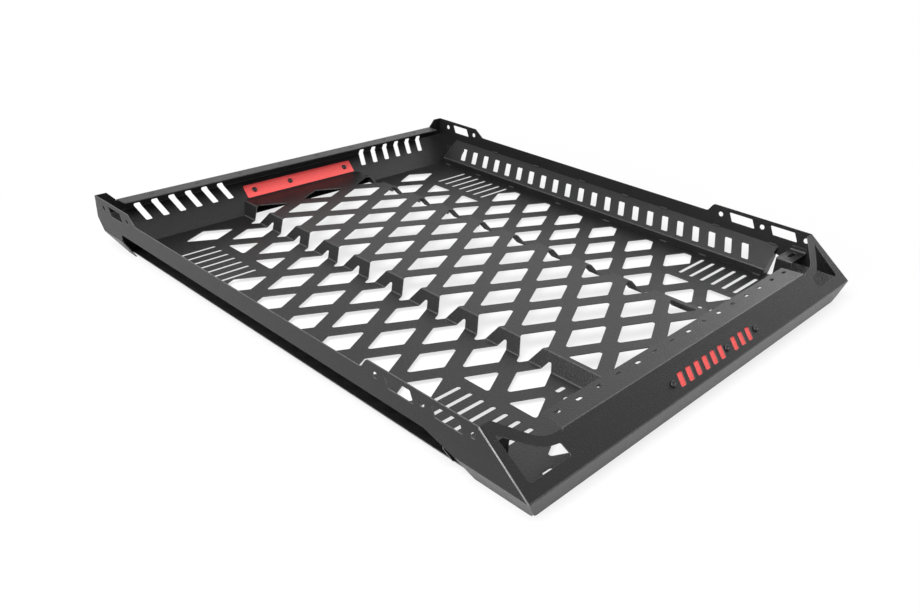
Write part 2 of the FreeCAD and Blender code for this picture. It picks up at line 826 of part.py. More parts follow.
bodies = [
    build_deck(),
    build_front_fascia(),
    build_rear_wall(),
    build_side_plate("side_plate_left", -1),
    build_side_plate("side_plate_right", 1),
    build_liner("side_liner_left", -1),
    build_liner("side_liner_right", 1),
    build_bracket("corner_bracket_left", -1),
    build_bracket("corner_bracket_right", 1),
    build_rear_plate(),
    build_front_plate(),
]
doc.recompute()

for item in doc.Objects:
    if "Invalid" in item.State or "Error" in item.State:
        raise RuntimeError(f"{item.Label} did not build: {item.State}")
os.makedirs("parts", exist_ok=True)
for body in bodies:
    shape = body.Shape
    if shape.isNull() or not shape.isValid() or len(shape.Solids) != 1:
        raise RuntimeError(f"{body.Label} is not one valid solid")
    shape.exportStep(f"parts/{body.Label}.step")
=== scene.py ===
"""Looks of a roof basket made of folded sheet steel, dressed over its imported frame."""
import logging
import math
from dataclasses import dataclass, field
from enum import Enum
from typing import Dict, List, Optional, Sequence, Tuple, Union

import bmesh
import bpy
from mathutils import Matrix, Vector
from mathutils.geometry import interpolate_bezier


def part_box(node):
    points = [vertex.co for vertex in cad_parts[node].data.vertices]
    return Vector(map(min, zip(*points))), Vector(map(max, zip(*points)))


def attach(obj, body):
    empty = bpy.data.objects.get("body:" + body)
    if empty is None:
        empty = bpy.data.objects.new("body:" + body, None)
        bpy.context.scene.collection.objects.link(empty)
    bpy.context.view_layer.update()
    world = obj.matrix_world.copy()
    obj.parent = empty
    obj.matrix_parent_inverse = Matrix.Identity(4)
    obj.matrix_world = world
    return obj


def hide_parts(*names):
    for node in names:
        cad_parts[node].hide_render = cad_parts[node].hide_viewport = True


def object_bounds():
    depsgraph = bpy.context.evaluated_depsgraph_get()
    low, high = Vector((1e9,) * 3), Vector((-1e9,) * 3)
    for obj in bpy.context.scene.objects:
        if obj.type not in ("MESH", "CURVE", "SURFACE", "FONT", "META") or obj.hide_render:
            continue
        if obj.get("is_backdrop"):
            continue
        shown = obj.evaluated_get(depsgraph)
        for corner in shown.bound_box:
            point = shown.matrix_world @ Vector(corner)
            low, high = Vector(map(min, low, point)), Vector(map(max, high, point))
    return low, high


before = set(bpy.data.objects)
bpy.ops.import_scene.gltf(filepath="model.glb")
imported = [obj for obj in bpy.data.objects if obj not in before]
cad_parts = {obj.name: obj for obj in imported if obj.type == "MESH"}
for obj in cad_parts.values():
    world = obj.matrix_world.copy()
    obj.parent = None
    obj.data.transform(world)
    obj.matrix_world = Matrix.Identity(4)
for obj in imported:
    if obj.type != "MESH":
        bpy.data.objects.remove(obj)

LOG = logging.getLogger("roof_basket")
Point = Tuple[float, float]
Colour = Tuple[float, float, float]
Loop = List[Point]

SHEET = 0.002
BEND_RADIUS = 0.0032
BEND_STEPS = 6
RIM_BEVEL = 0.00035
RIM_ANGLE = math.radians(50)
# Share of the lighter rim colour painted on folds, tabs and beads as a highlight.
FOLD_PAINTED_HIGHLIGHT = 0.6
CUT_AREA = 1e-9
NEAR = 1e-9
CUT_GAP = 1e-7
EDGE_STEP = 1e-5
CORNER_SHARE = 0.48
BODY = "root"


class Side(Enum):
    """The two long sides of the basket."""

    LEFT = -1
    RIGHT = 1


class Lie(Enum):
    """The direction in which a folded sheet's bends run."""

    ACROSS = "along X"
    ENDWAYS = "along Y"


class Slot(Enum):
    """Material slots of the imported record."""

    BLACK = "black_coat"
    RED = "red_coat"


def noise(tree: bpy.types.NodeTree, grain: Point) -> bpy.types.NodeSocket:
    """Adds a noise pattern on a piece's Object coordinates.

    Args:
        tree: Node tree that takes the pattern.
        grain: Scale and detail of the pattern.

    Returns:
        The pattern's value.
    """
    place = tree.nodes.new("ShaderNodeTexCoord")
    pattern = tree.nodes.new("ShaderNodeTexNoise")
    for label, value in zip(("Scale", "Detail"), grain):
        pattern.inputs[label].default_value = value
    tree.links.new(place.outputs["Object"], pattern.inputs["Vector"])
    return pattern.outputs["Fac"]


def joined(tree: bpy.types.NodeTree, operation: str, first: bpy.types.NodeSocket,
           second: bpy.types.NodeSocket) -> bpy.types.NodeSocket:
    """Joins two values.

    Args:
        tree: Node tree that takes the math node.
        operation: What the math node does.
        first: First value.
        second: Second value.

    Returns:
        The joined value.
    """
    node = tree.nodes.new("ShaderNodeMath")
    node.operation = operation
    for socket, value in zip(node.inputs, (first, second)):
        tree.links.new(value, socket)
    return node.outputs["Value"]


def ranged(tree: bpy.types.NodeTree, value: bpy.types.NodeSocket, target: Point,
           source: Point = (0.0, 1.0), ease: str = "LINEAR") -> bpy.types.NodeSocket:
    """Maps a value from one range to another.

    Args:
        tree: Node tree that takes the range node.
        value: The value.
        target: Range that it is mapped to.
        source: Range that it comes from.
        ease: Interpolation between the two ends.

    Returns:
        The mapped value.
    """
    node = tree.nodes.new("ShaderNodeMapRange")
    node.interpolation_type = ease
    for label, number in zip(("From Min", "From Max", "To Min", "To Max"), (*source, *target)):
        node.inputs[label].default_value = number
    tree.links.new(value, node.inputs["Value"])
    return node.outputs["Result"]


@dataclass(frozen=True)
class PowderCoat:
    """Baked powder coat: fine orange peel, speckled colour, and lighter rims and folds that are partly
    scuffed coat and partly painted highlight.

    Attributes:
        name: Material name.
        colour: Linear base colour.
        rim_scuff_and_highlight: Linear colour of the rims and folds, partly scuffed coat and partly painted
            highlight.
        roughness: Mean roughness.
        grain: Depth of the fine texture in metres.
        specular: Strength of the clear reflection.
        speckle: Scale and detail of the colour speckle.
        tones: Darkest and lightest share of the colour in the speckle.
        rim_breakup: Scale and detail of the pattern that breaks up the lighter rims and folds.
        sheen: Scale and detail of the change in roughness.
        sheen_swing: How far the roughness swings either way.
        peel: Scale and detail of the orange peel.
        peel_strength: Strength of the orange peel.
    """

    name: str
    colour: Colour
    rim_scuff_and_highlight: Colour
    roughness: float
    grain: float
    specular: float
    speckle: Point = (330.0, 2.0)
    tones: Point = (0.68, 1.32)
    rim_breakup: Point = (140.0, 4.0)
    sheen: Point = (60.0, 5.0)
    sheen_swing: float = 0.03
    peel: Point = (440.0, 2.0)
    peel_strength: float = 0.8

    def build(self) -> bpy.types.Material:
        """Builds the node tree.

        Returns:
            The finished material.
        """
        material = bpy.data.materials.new(self.name)
        material.use_nodes = True
        tree = material.node_tree
        nodes, links = tree.nodes, tree.links
        shader = nodes["Principled BSDF"]

        tone = nodes.new("ShaderNodeMix")
        tone.data_type = "RGBA"
        for label, share in zip("AB", self.tones):
            tone.inputs[label].default_value = (*[min(c * share, 1.0) for c in self.colour], 1.0)
        links.new(noise(tree, self.speckle), tone.inputs["Factor"])

        # Lighter rims and folds from the rim attribute: partly scuffed coat, partly painted highlight.
        rim = nodes.new("ShaderNodeAttribute")
        rim.attribute_name = "rim"
        scuff_and_highlight_mask = joined(tree, "MULTIPLY", rim.outputs["Fac"], noise(tree, self.rim_breakup))
        scuffed_and_lit = nodes.new("ShaderNodeMix")
        scuffed_and_lit.data_type = "RGBA"
        scuffed_and_lit.inputs["B"].default_value = (*self.rim_scuff_and_highlight, 1.0)
        links.new(scuff_and_highlight_mask, scuffed_and_lit.inputs["Factor"])
        links.new(tone.outputs["Result"], scuffed_and_lit.inputs["A"])
        links.new(scuffed_and_lit.outputs["Result"], shader.inputs["Base Color"])

        swing = (self.roughness - self.sheen_swing, self.roughness + self.sheen_swing)
        links.new(ranged(tree, noise(tree, self.sheen), swing), shader.inputs["Roughness"])

        bump = nodes.new("ShaderNodeBump")
        bump.inputs["Strength"].default_value = self.peel_strength
        bump.inputs["Distance"].default_value = self.grain
        links.new(noise(tree, self.peel), bump.inputs["Height"])
        links.new(bump.outputs["Normal"], shader.inputs["Normal"])
        shader.inputs["Specular IOR Level"].default_value = self.specular
        return material


@dataclass(frozen=True)
class ZincSteel:
    """Dark zinc plate of the small fasteners.

    Attributes:
        name: Material name.
        colour: Linear base colour.
        roughness: Mean roughness.
        mottle: Scale and detail of the change in roughness.
        swing: How far the roughness swings down and up.
        metallic: Share of the metal's own reflection.
    """

    name: str
    colour: Colour
    roughness: float
    mottle: Point = (420.0, 4.0)
    swing: Point = (-0.1, 0.12)
    metallic: float = 0.85

    def build(self) -> bpy.types.Material:
        """Builds the node tree.

        Returns:
            The finished material.
        """
        material = bpy.data.materials.new(self.name)
        material.use_nodes = True
        tree = material.node_tree
        shader = tree.nodes["Principled BSDF"]
        low, high = (self.roughness + change for change in self.swing)
        tree.links.new(ranged(tree, noise(tree, self.mottle), (low, high)), shader.inputs["Roughness"])
        shader.inputs["Base Color"].default_value = (*self.colour, 1.0)
        shader.inputs["Metallic"].default_value = self.metallic
        return material


@dataclass(frozen=True)
class Backdrop:
    """White studio floor that keeps the basket's shadow.

    Attributes:
        name: Material name.
        lit_share: Share of the real lit floor that the camera sees near the basket.
        near: Distance from the middle up to which that share holds.
        far: Distance from which the floor is plain white.
        shade: Half width and half length of the ground under the basket, which the coat mirrors as lit.
        shade_rim: Shares of that ground between which its mirrored edge fades.
        paper: Lightness of the lit floor.
    """

    name: str
    lit_share: float
    near: float
    far: float
    shade: Point
    shade_rim: Point = (0.97, 1.05)
    paper: float = 0.9

    def build(self) -> bpy.types.Material:
        """Builds the node tree.

        Returns:
            The finished material.
        """
        material = bpy.data.materials.new(self.name)
        material.use_nodes = True
        tree = material.node_tree
        nodes, links = tree.nodes, tree.links
        nodes.clear()
        output = nodes.new("ShaderNodeOutputMaterial")
        lit = nodes.new("ShaderNodeBsdfDiffuse")
        lit.inputs["Color"].default_value = (self.paper, self.paper, self.paper, 1.0)
        glow = nodes.new("ShaderNodeEmission")
        glow.inputs["Strength"].default_value = 1.0
        path = nodes.new("ShaderNodeLightPath")
        place = nodes.new("ShaderNodeTexCoord")
        reach = nodes.new("ShaderNodeVectorMath")
        reach.operation = "LENGTH"
        links.new(place.outputs["Object"], reach.inputs[0])
        folded = nodes.new("ShaderNodeVectorMath")
        folded.operation = "ABSOLUTE"
        links.new(place.outputs["Object"], folded.inputs[0])
        sized = nodes.new("ShaderNodeVectorMath")
        sized.operation = "DIVIDE"
        sized.inputs[1].default_value = (*self.shade, 1.0)
        links.new(folded.outputs["Vector"], sized.inputs[0])
        parts = nodes.new("ShaderNodeSeparateXYZ")
        links.new(sized.outputs["Vector"], parts.inputs["Vector"])
        outside = joined(tree, "MAXIMUM", parts.outputs["X"], parts.outputs["Y"])
        shares = []
        for ray, measure, source, least in (
            ("Is Camera Ray", reach.outputs["Value"], (self.near, self.far), 1.0 - self.lit_share),
            ("Is Transmission Ray", reach.outputs["Value"], (self.near, self.far), 1.0 - self.lit_share),
            ("Is Glossy Ray", outside, self.shade_rim, 0.0),
        ):
            plain = ranged(tree, measure, (least, 1.0), source, "SMOOTHSTEP")
            shares.append(joined(tree, "MULTIPLY", path.outputs[ray], plain))
        share = joined(tree, "MAXIMUM", joined(tree, "MAXIMUM", *shares[:2]), shares[2])
        mix = nodes.new("ShaderNodeMixShader")
        links.new(share, mix.inputs["Fac"])
        links.new(lit.outputs["BSDF"], mix.inputs[1])
        links.new(glow.outputs["Emission"], mix.inputs[2])
        links.new(mix.outputs["Shader"], output.inputs["Surface"])
        return material


def rounded(loop: Sequence[Point], radius: Union[float, Sequence[float]], steps: int = 4) -> Loop:
    """Rounds every corner of a closed loop.

    Args:
        loop: Corner points in order.
        radius: Largest corner radius, or one for each corner; short edges take less.
        steps: Segments in each arc.

    Returns:
        The loop with an arc at each corner.
    """
    result: Loop = []
    count = len(loop)
    radii = [radius] * count if isinstance(radius, float) else radius
    for index, corner in enumerate(loop):
        here = Vector(corner)
        to_last = Vector(loop[index - 1]) - here
        to_next = Vector(loop[(index + 1) % count]) - here
        turn = to_last.angle(to_next)
        room = min(to_last.length, to_next.length) * CORNER_SHARE
        reach = min(radii[index] / math.tan(turn / 2), room)
        bend = reach * math.tan(turn / 2)
        halfway = (to_last.normalized() + to_next.normalized()).normalized()
        middle = here + halfway * (bend / math.sin(turn / 2))
        first = here + to_last.normalized() * reach - middle
        last = here + to_next.normalized() * reach - middle
        sweep = first.angle_signed(last)
        for step in range(steps + 1):
            arm = first.copy()
            arm.rotate(Matrix.Rotation(-sweep * step / steps, 2))
            result.append(tuple(middle + arm))
    return result


def eased(run: Sequence[Point], radius: float, steps: int) -> Loop:
    """Rounds the inner corners of an open run.

    Args:
        run: Points in order.
        radius: Largest corner radius.
        steps: Segments in each arc.

    Returns:
        The arcs, without the run's two ends.
    """
    return rounded(run, radius, steps)[steps + 1:-steps - 1]


def mirrored(right: Loop) -> Loop:
    """Returns the closed loop of a right half and its mirror image."""
    return right + [(u, -v) for u, v in right[::-1]]


def spaced(count: int, pitch: float) -> List[float]:
    """Returns places that are evenly spaced about zero."""
    return [(step - (count - 1) / 2) * pitch for step in range(count)]


def oval(middle: Point, half: float, radius: float, steps: int = 6) -> Loop:
    """Loop of a slot with round ends along the second coordinate.

    Args:
        middle: Centre of the slot.
        half: Half the distance between the end centres.
        radius: Half the slot's width.
        steps: Segments in each end.

    Returns:
        The closed loop.
    """
    loop: Loop = []
    for sign in (1, -1):
        for step in range(steps + 1):
            angle = math.pi * (step / steps - 0.5)
            loop.append((middle[0] + sign * radius * math.sin(angle),
                         middle[1] + sign * (half + radius * math.cos(angle))))
    return loop


def ring(middle: Point, radius: float, steps: int = 28) -> Loop:
    """Loop of a round hole.

    Args:
        middle: Centre of the hole.
        radius: Hole radius.
        steps: Segments round it.

    Returns:
        The closed loop.
    """
    turns = [math.tau * step / steps for step in range(steps)]
    return [(middle[0] + radius * math.cos(t), middle[1] + radius * math.sin(t)) for t in turns]


@dataclass
class Profile:
    """Cross-section of a folded sheet, measured along its face.

    Attributes:
        corners: Corner points of the face in the section plane.
        start: Measure at the first corner.
        radius: Bend radius of the face.
        marks: Measure at each corner, worked out.
    """

    corners: Sequence[Point]
    start: float = 0.0
    radius: float = BEND_RADIUS
    marks: List[float] = field(init=False)

    def __post_init__(self) -> None:
        """Measures the corners."""
        self.marks = [self.start]
        for a, b in zip(self.corners, self.corners[1:]):
            self.marks.append(self.marks[-1] + (Vector(b) - Vector(a)).length)

    def bends(self) -> List[Tuple[float, float]]:
        """Returns the measure and half-length of every bend."""
        found = []
        for index in range(1, len(self.corners) - 1):
            here = Vector(self.corners[index])
            back = Vector(self.corners[index - 1]) - here
            ahead = Vector(self.corners[index + 1]) - here
            turn = math.pi - back.angle(ahead)
            found.append((self.marks[index], self.radius * math.tan(turn / 2)))
        return found

    def cuts(self) -> List[float]:
        """Returns the measures at which the flat sheet is divided for its bends."""
        return [mark + reach * (2 * step / BEND_STEPS - 1)
                for mark, reach in self.bends() for step in range(BEND_STEPS + 1)]

    def in_bend(self, measure: float) -> bool:
        """Returns whether a measure lies in a bend."""
        return any(abs(measure - mark) < reach for mark, reach in self.bends())

    def at(self, measure: float) -> Vector:
        """Finds a point of the face.

        Args:
            measure: Distance along the face.

        Returns:
            The point in the section plane.
        """
        for index, (mark, reach) in enumerate(self.bends(), start=1):
            if abs(measure - mark) < reach:
                here = Vector(self.corners[index])
                back = (Vector(self.corners[index - 1]) - here).normalized()
                ahead = (Vector(self.corners[index + 1]) - here).normalized()
                part = (measure - mark + reach) / (2 * reach)
                first, last = back * reach, ahead * reach
                centre = (back + ahead).normalized() * (reach / math.cos(back.angle(ahead) / 2))
                arm = first - centre
                sweep = arm.angle_signed(last - centre)
                arm.rotate(Matrix.Rotation(-sweep * part, 2))
                return here + centre + arm
        index = 0
        while index < len(self.corners) - 2 and measure > self.marks[index + 1]:
            index += 1
        a, b = Vector(self.corners[index]), Vector(self.corners[index + 1])
        return a + (b - a).normalized() * (measure - self.marks[index])

    def measure(self, axis: int, value: float) -> float:
        """Finds where the face reaches a coordinate, from the last corner back.

        Args:
            axis: 0 or 1 for the section's own coordinates.
            value: The coordinate.

        Returns:
            The measure along the face.
        """
        for index in range(len(self.corners) - 2, -1, -1):
            a, b = self.corners[index], self.corners[index + 1]
            low, high = sorted((a[axis], b[axis]))
            if high - low > NEAR and (low - NEAR <= value <= high + NEAR or index == 0):
                part = (value - a[axis]) / (b[axis] - a[axis])
                return self.marks[index] + part * (self.marks[index + 1] - self.marks[index])
        raise ValueError("the section does not reach that coordinate")


@dataclass
class FoldedSheet:
    """A sheet cut flat, folded along straight bends and given its thickness.

    Attributes:
        name: Piece name.
        profile: Section of the face.
        lie: Direction of the bends.
        outline: Flat outline as (measure, place along the bend).
        holes: Flat holes in the same coordinates.
        inward: Section direction from the face into the sheet near its first edge.
        tabs: Section used instead where a point lies further out than split.
        split: Place along the bend beyond which tabs is used.
    """

    name: str
    profile: Profile
    lie: Lie
    outline: Loop
    holes: List[Loop]
    inward: Point
    tabs: Optional[Profile] = None
    split: float = math.inf

    def section_for(self, along: float) -> Profile:
        """Returns the section that folds a point at that place along the bend."""
        return self.tabs if self.tabs and abs(along) > self.split else self.profile

    def spot(self, flat: Vector) -> Vector:
        """Folds one flat point.

        Args:
            flat: Measure and place along the bend.

        Returns:
            The point in the basket's frame.
        """
        section = self.section_for(flat.y).at(flat.x)
        if self.lie is Lie.ACROSS:
            return Vector((flat.y, section.x, section.y))
        return Vector((section.x, flat.y, section.y))

    def build(self, finish: bpy.types.Material) -> bpy.types.Object:
        """Cuts, folds and thickens the sheet.

        Args:
            finish: Material of the whole piece.

        Returns:
            The linked object.
        """
        mesh = bmesh.new()
        for loop in [self.outline] + self.holes:
            corners = [mesh.verts.new((u, v, 0.0)) for u, v in loop]
            for a, b in zip(corners, corners[1:] + corners[:1]):
                mesh.edges.new((a, b))
        bmesh.ops.triangle_fill(mesh, use_beauty=True, edges=mesh.edges[:], normal=(0, 0, 1))
        cuts = set(self.profile.cuts() + (self.tabs.cuts() if self.tabs else []))
        for cut in sorted(cuts):
            parts = mesh.verts[:] + mesh.edges[:] + mesh.faces[:]
            bmesh.ops.bisect_plane(mesh, geom=parts, dist=CUT_GAP, plane_co=(cut, 0, 0), plane_no=(1, 0, 0))
        length = mesh.verts.layers.float.new("length")
        along = mesh.verts.layers.float.new("along")
        for vert in mesh.verts:
            vert[length], vert[along] = vert.co.x, vert.co.y
            vert.co = self.spot(vert.co)
        mesh.normal_update()
        self.thicken(mesh)
        self.soften(mesh, length, along)
        return finished(mesh, self.name, finish)

    def thicken(self, mesh: bmesh.types.BMesh) -> None:
        """Gives the folded face its thickness on the inner side.

        Args:
            mesh: The folded face, changed in place.
        """
        edge = self.profile.at(self.profile.marks[0] + EDGE_STEP)
        face = min(mesh.faces, key=lambda f: (self.section(f.calc_center_median()) - edge).length)
        inner = self.section(face.normal).dot(Vector(self.inward)) > 0
        if inner:
            bmesh.ops.reverse_faces(mesh, faces=mesh.faces[:])
            mesh.normal_update()
        bmesh.ops.solidify(mesh, geom=mesh.faces[:], thickness=SHEET)
        bmesh.ops.recalc_face_normals(mesh, faces=mesh.faces[:])

    def section(self, point: Vector) -> Vector:
        """Returns a point's or direction's part in the section plane."""
        return Vector((point.y if self.lie is Lie.ACROSS else point.x, point.z))

    def soften(self, mesh: bmesh.types.BMesh, length: bmesh.types.BMLayerItem,
               along: bmesh.types.BMLayerItem) -> None:
        """Rounds the cut rims and marks them, and shades the bends smooth; rims and bends take the lighter
        rim colour, a painted highlight that on the rims is partly scuffed coat.

        Args:
            mesh: The closed sheet, changed in place.
            length: Vertex layer with the measure along the face.
            along: Vertex layer with the place along the bend.
        """
        mesh.normal_update()
        rim = mesh.faces.layers.float.new("rim")
        for face in mesh.faces:
            spots = [Vector((v[length], v[along])) for v in face.verts]
            twice_area = sum(a.cross(b) for a, b in zip(spots, spots[1:] + spots[:1]))
            face[rim] = float(abs(twice_area) < CUT_AREA)
        sharp = [e for e in mesh.edges if e.is_manifold and e.calc_face_angle(0.0) > RIM_ANGLE]
        rims = bmesh.ops.bevel(mesh, geom=sharp, offset=RIM_BEVEL, offset_type="OFFSET", segments=2,
                               profile=0.5, affect="EDGES", clamp_overlap=True, material=-1)
        # Bevelled rims take the lighter rim colour: partly scuffed coat, partly painted edge highlight.
        for face in rims["faces"]:
            face[rim] = 1.0
        # Painted highlight: faces in a bend take part of the lighter rim colour, for the light line along
        # each fold.
        for face in mesh.faces:
            spot = sum(v[length] for v in face.verts) / len(face.verts)
            place = sum(v[along] for v in face.verts) / len(face.verts)
            face.smooth = self.section_for(place).in_bend(spot)
            if face.smooth:
                face[rim] = max(face[rim], FOLD_PAINTED_HIGHLIGHT)


def finished(mesh: bmesh.types.BMesh, name: str, finish: bpy.types.Material) -> bpy.types.Object:
    """Turns a bmesh into a linked object with one material.

    Args:
        mesh: The finished mesh, freed here.
        name: Piece name.
        finish: Its material.

    Returns:
        The linked object.
    """
    data = bpy.data.meshes.new(name)
    mesh.to_mesh(data)
    mesh.free()
    data.materials.append(finish)
    piece = bpy.data.objects.new(name, data)
    bpy.context.scene.collection.objects.link(piece)
    return piece


def stand_for(piece: bpy.types.Object, node: str) -> bpy.types.Object:
    """Puts a piece in place of one frame node.

    Args:
        piece: The dressed piece.
        node: Name of the node that it stands for.

    Returns:
        The same piece.
    """
    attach(piece, BODY)
    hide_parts(node)
    low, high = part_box(node)
    corners = [Vector(v.co) for v in piece.data.vertices]
    reach = max(max(abs(min(c[i] for c in corners) - low[i]), abs(max(c[i] for c in corners) - high[i]))
                for i in range(3))
    LOG.info("%s: %d faces, within %.2f mm of its node", piece.name, len(piece.data.polygons), reach * 1000)
    return piece


def ride_along(piece: bpy.types.Object) -> bpy.types.Object:
    """Adds a small piece that no frame node stands for.

    Args:
        piece: The new piece.

    Returns:
        The same piece.
    """
    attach(piece, BODY)
    LOG.info("%s: %d faces", piece.name, len(piece.data.polygons))
    return piece


@dataclass
class Shell:
    """Outside sizes and shared lines of the basket, taken from the frame.

    Attributes:
        low: Lowest corner of the frame.
        high: Highest corner of the frame.
        tip_height: Height of the front tip fold and of the side plates' lower fold.
        wing_run: Level run of the sloping front face up to the ear top.
        face_top: Height of the front flange.
        lip_run: Setback of the front lip at the floor.
        side_lean: Inward lean of the side plates' lower lips.
        rear_fold: Height of the rear wall's fold.
        rear_foot: Height of the rear wall's lower edge.
        rear_run: Level run of the rear wall's leaning part.
        deck_low: Height of the deck's sides.
        deck_high: Height of the deck's middle.
    """

    low: Vector
    high: Vector
    tip_height: float = 0.042
    wing_run: float = 0.0935
    face_top: float = 0.0785
    lip_run: float = 0.011
    side_lean: float = 0.027
    rear_fold: float = 0.068
    rear_foot: float = 0.008
    rear_run: float = 0.060
    deck_low: float = 0.010
    deck_high: float = 0.0355

    @property
    def ear_front(self) -> float:
        """Place of the front ears' upper front corner."""
        return self.low.y + self.wing_run

    @property
    def face_slope(self) -> float:
        """Rise of the sloping front face over its level run."""
        return (self.high.z - self.tip_height) / self.wing_run

    @property
    def face_fold(self) -> float:
        """Place of the fold between the front face and its flange."""
        share = (self.face_top - self.tip_height) / (self.high.z - self.tip_height)
        return self.low.y + self.wing_run * share

    def lip_inner(self, height: float) -> float:
        """Returns the place of the front lip's inner face at a height."""
        share = 1 - height / self.tip_height
        return self.low.y + self.lip_run * share + SHEET * math.hypot(1, self.lip_run / self.tip_height)

    def rear_inner(self, height: float) -> float:
        """Returns the place of the rear wall's inner face at a height."""
        slope = self.rear_run / (self.rear_fold - self.rear_foot)
        return self.high.y - slope * (self.rear_fold - height) - SHEET * math.hypot(1, slope)

    def side_inner(self, height: float) -> float:
        """Returns how far out a side plate's inner face is at a height."""
        slope = self.side_lean / self.tip_height
        lean = self.high.x - slope * (self.tip_height - height) - SHEET * math.hypot(1, slope)
        return min(self.high.x - SHEET, lean)


@dataclass
class Deck:
    """Lattice deck: one sheet with a raised middle.

    Attributes:
        half: Half the deck's width.
        fold_inner: Half the width of the raised middle.
        fold_outer: Where the slopes meet the lower sides.
        middle: Distance of the lattice's centre from the front tip.
        pitch_x: Lattice pitch across.
        pitch_y: Lattice pitch along.
        opening: Half diagonals of an opening.
        corner: Corner radius of an opening.
        edge_limit: How far out the outermost openings reach.
        comb: Centre of the slot groups, out from the middle and along from the centre.
        comb_pitch: Pitch of the slots in a group.
        comb_count: Number of slots in a group.
        comb_size: Length and width of one such slot.
        mount_places: Mounting slots, out from the middle and back from the front tip.
        mount_half: Half the distance between a mounting slot's end centres.
        mount_radius: Half a mounting slot's width.
    """

    half: float = 0.474
    fold_inner: float = 0.170
    fold_outer: float = 0.188
    middle: float = 0.573
    pitch_x: float = 0.161
    pitch_y: float = 0.100
    opening: Point = (0.061, 0.030)
    corner: float = 0.0045
    edge_limit: float = 0.432
    comb: Point = (0.3815, 0.365)
    comb_pitch: float = 0.0253
    comb_count: int = 7
    comb_size: Point = (0.100, 0.0085)
    mount_places: Tuple[Point, ...] = ((0.216, 0.1705), (0.394, 0.0505))
    mount_half: float = 0.0065
    mount_radius: float = 0.0045

    def diamond(self, across: float, along: float, limit: float = math.inf, half: bool = False) -> Loop:
        """Makes one opening, mirrored to the side that across is on.

        Args:
            across: Centre across the flat sheet.
            along: Centre along the deck.
            limit: Furthest reach outwards.
            half: Whether only the side towards the middle is open.

        Returns:
            The rounded loop.
        """
        wide, tall = self.opening
        sign = -1 if across < 0 else 1
        out = abs(across)
        loop = [(out - wide, along), (out, along - tall)]
        if half:
            loop.append((out, along + tall))
        elif limit < out + wide:
            tip = tall * (out + wide - limit) / wide
            loop += [(limit, along - tip), (limit, along + tip), (out, along + tall)]
        else:
            loop += [(out + wide, along), (out, along + tall)]
        return [(u * sign, v) for u, v in rounded(loop, self.corner)]

    def lattice(self, centre: float, stretch: float) -> List[Loop]:
        """Lays out all lattice openings of the flat sheet.

        Args:
            centre: Place of the lattice's centre along the deck.
            stretch: Extra flat length of one slope over its plan width.

        Returns:
            The loops.
        """
        loops: List[Loop] = []
        rows: Dict[float, Sequence[float]] = {
            0.0: range(-5, 6),
            0.5: spaced(10, 1.0),
            1.0: range(-3, 6),
            1.5: spaced(10, 1.0),
            2.0: (-5, -2, -1, 0, 1, 2, 5),
            2.5: spaced(6, 1.0),
        }
        halves: Dict[float, Sequence[float]] = {1.0: (-4,), 2.0: (-4, -3, 3, 4)}
        outermost = max(rows)
        for table, half in ((rows, False), (halves, True)):
            for column, steps in table.items():
                limit = self.edge_limit + stretch if column == outermost else math.inf
                for sign in ((1,) if column == 0 else (-1, 1)):
                    for step in steps:
                        place = (column * self.pitch_x * sign, centre + step * self.pitch_y)
                        loops.append(self.diamond(*place, limit, half))
        return loops

    def build(self, shell: Shell, finish: bpy.types.Material) -> bpy.types.Object:
        """Builds the deck.

        Args:
            shell: Shared lines.
            finish: Its coat.

        Returns:
            The dressed piece.
        """
        low, high = shell.deck_low, shell.deck_high
        right = [(self.fold_inner, high), (self.fold_outer, low), (self.half, low)]
        corners = [(-x, z) for x, z in right[::-1]] + right
        profile = Profile(corners, start=-Profile(corners).marks[-1] / 2)
        marks = profile.marks
        front = [(mark, shell.lip_inner(z)) for mark, (_, z) in zip(marks, corners)]
        rear = [(mark, shell.rear_inner(z)) for mark, (_, z) in zip(marks, corners)]
        stretch = marks[-1] - self.half
        centre = shell.low.y + self.middle
        holes = self.lattice(centre, stretch)
        long, wide = self.comb_size
        for side in Side:
            for end in (-1, 1):
                for shift in spaced(self.comb_count, self.comb_pitch):
                    spot = (side.value * (self.comb[0] + stretch), centre + end * self.comb[1] + shift)
                    holes.append(self.bar(spot, long, wide))
            for out, run in self.mount_places:
                spot = (side.value * (out + stretch), shell.low.y + run)
                reach = 2 * (self.mount_half + self.mount_radius)
                holes.append(self.bar(spot, reach, 2 * self.mount_radius))
        sheet = FoldedSheet("deck_sheet", profile, Lie.ENDWAYS, front + rear[::-1], holes, (0, -1))
        return stand_for(sheet.build(finish), "deck")

    def bar(self, spot: Point, long: float, wide: float) -> Loop:
        """Returns a slot with round ends that runs across the deck."""
        return [(u, v) for v, u in oval((spot[1], spot[0]), (long - wide) / 2, wide / 2)]


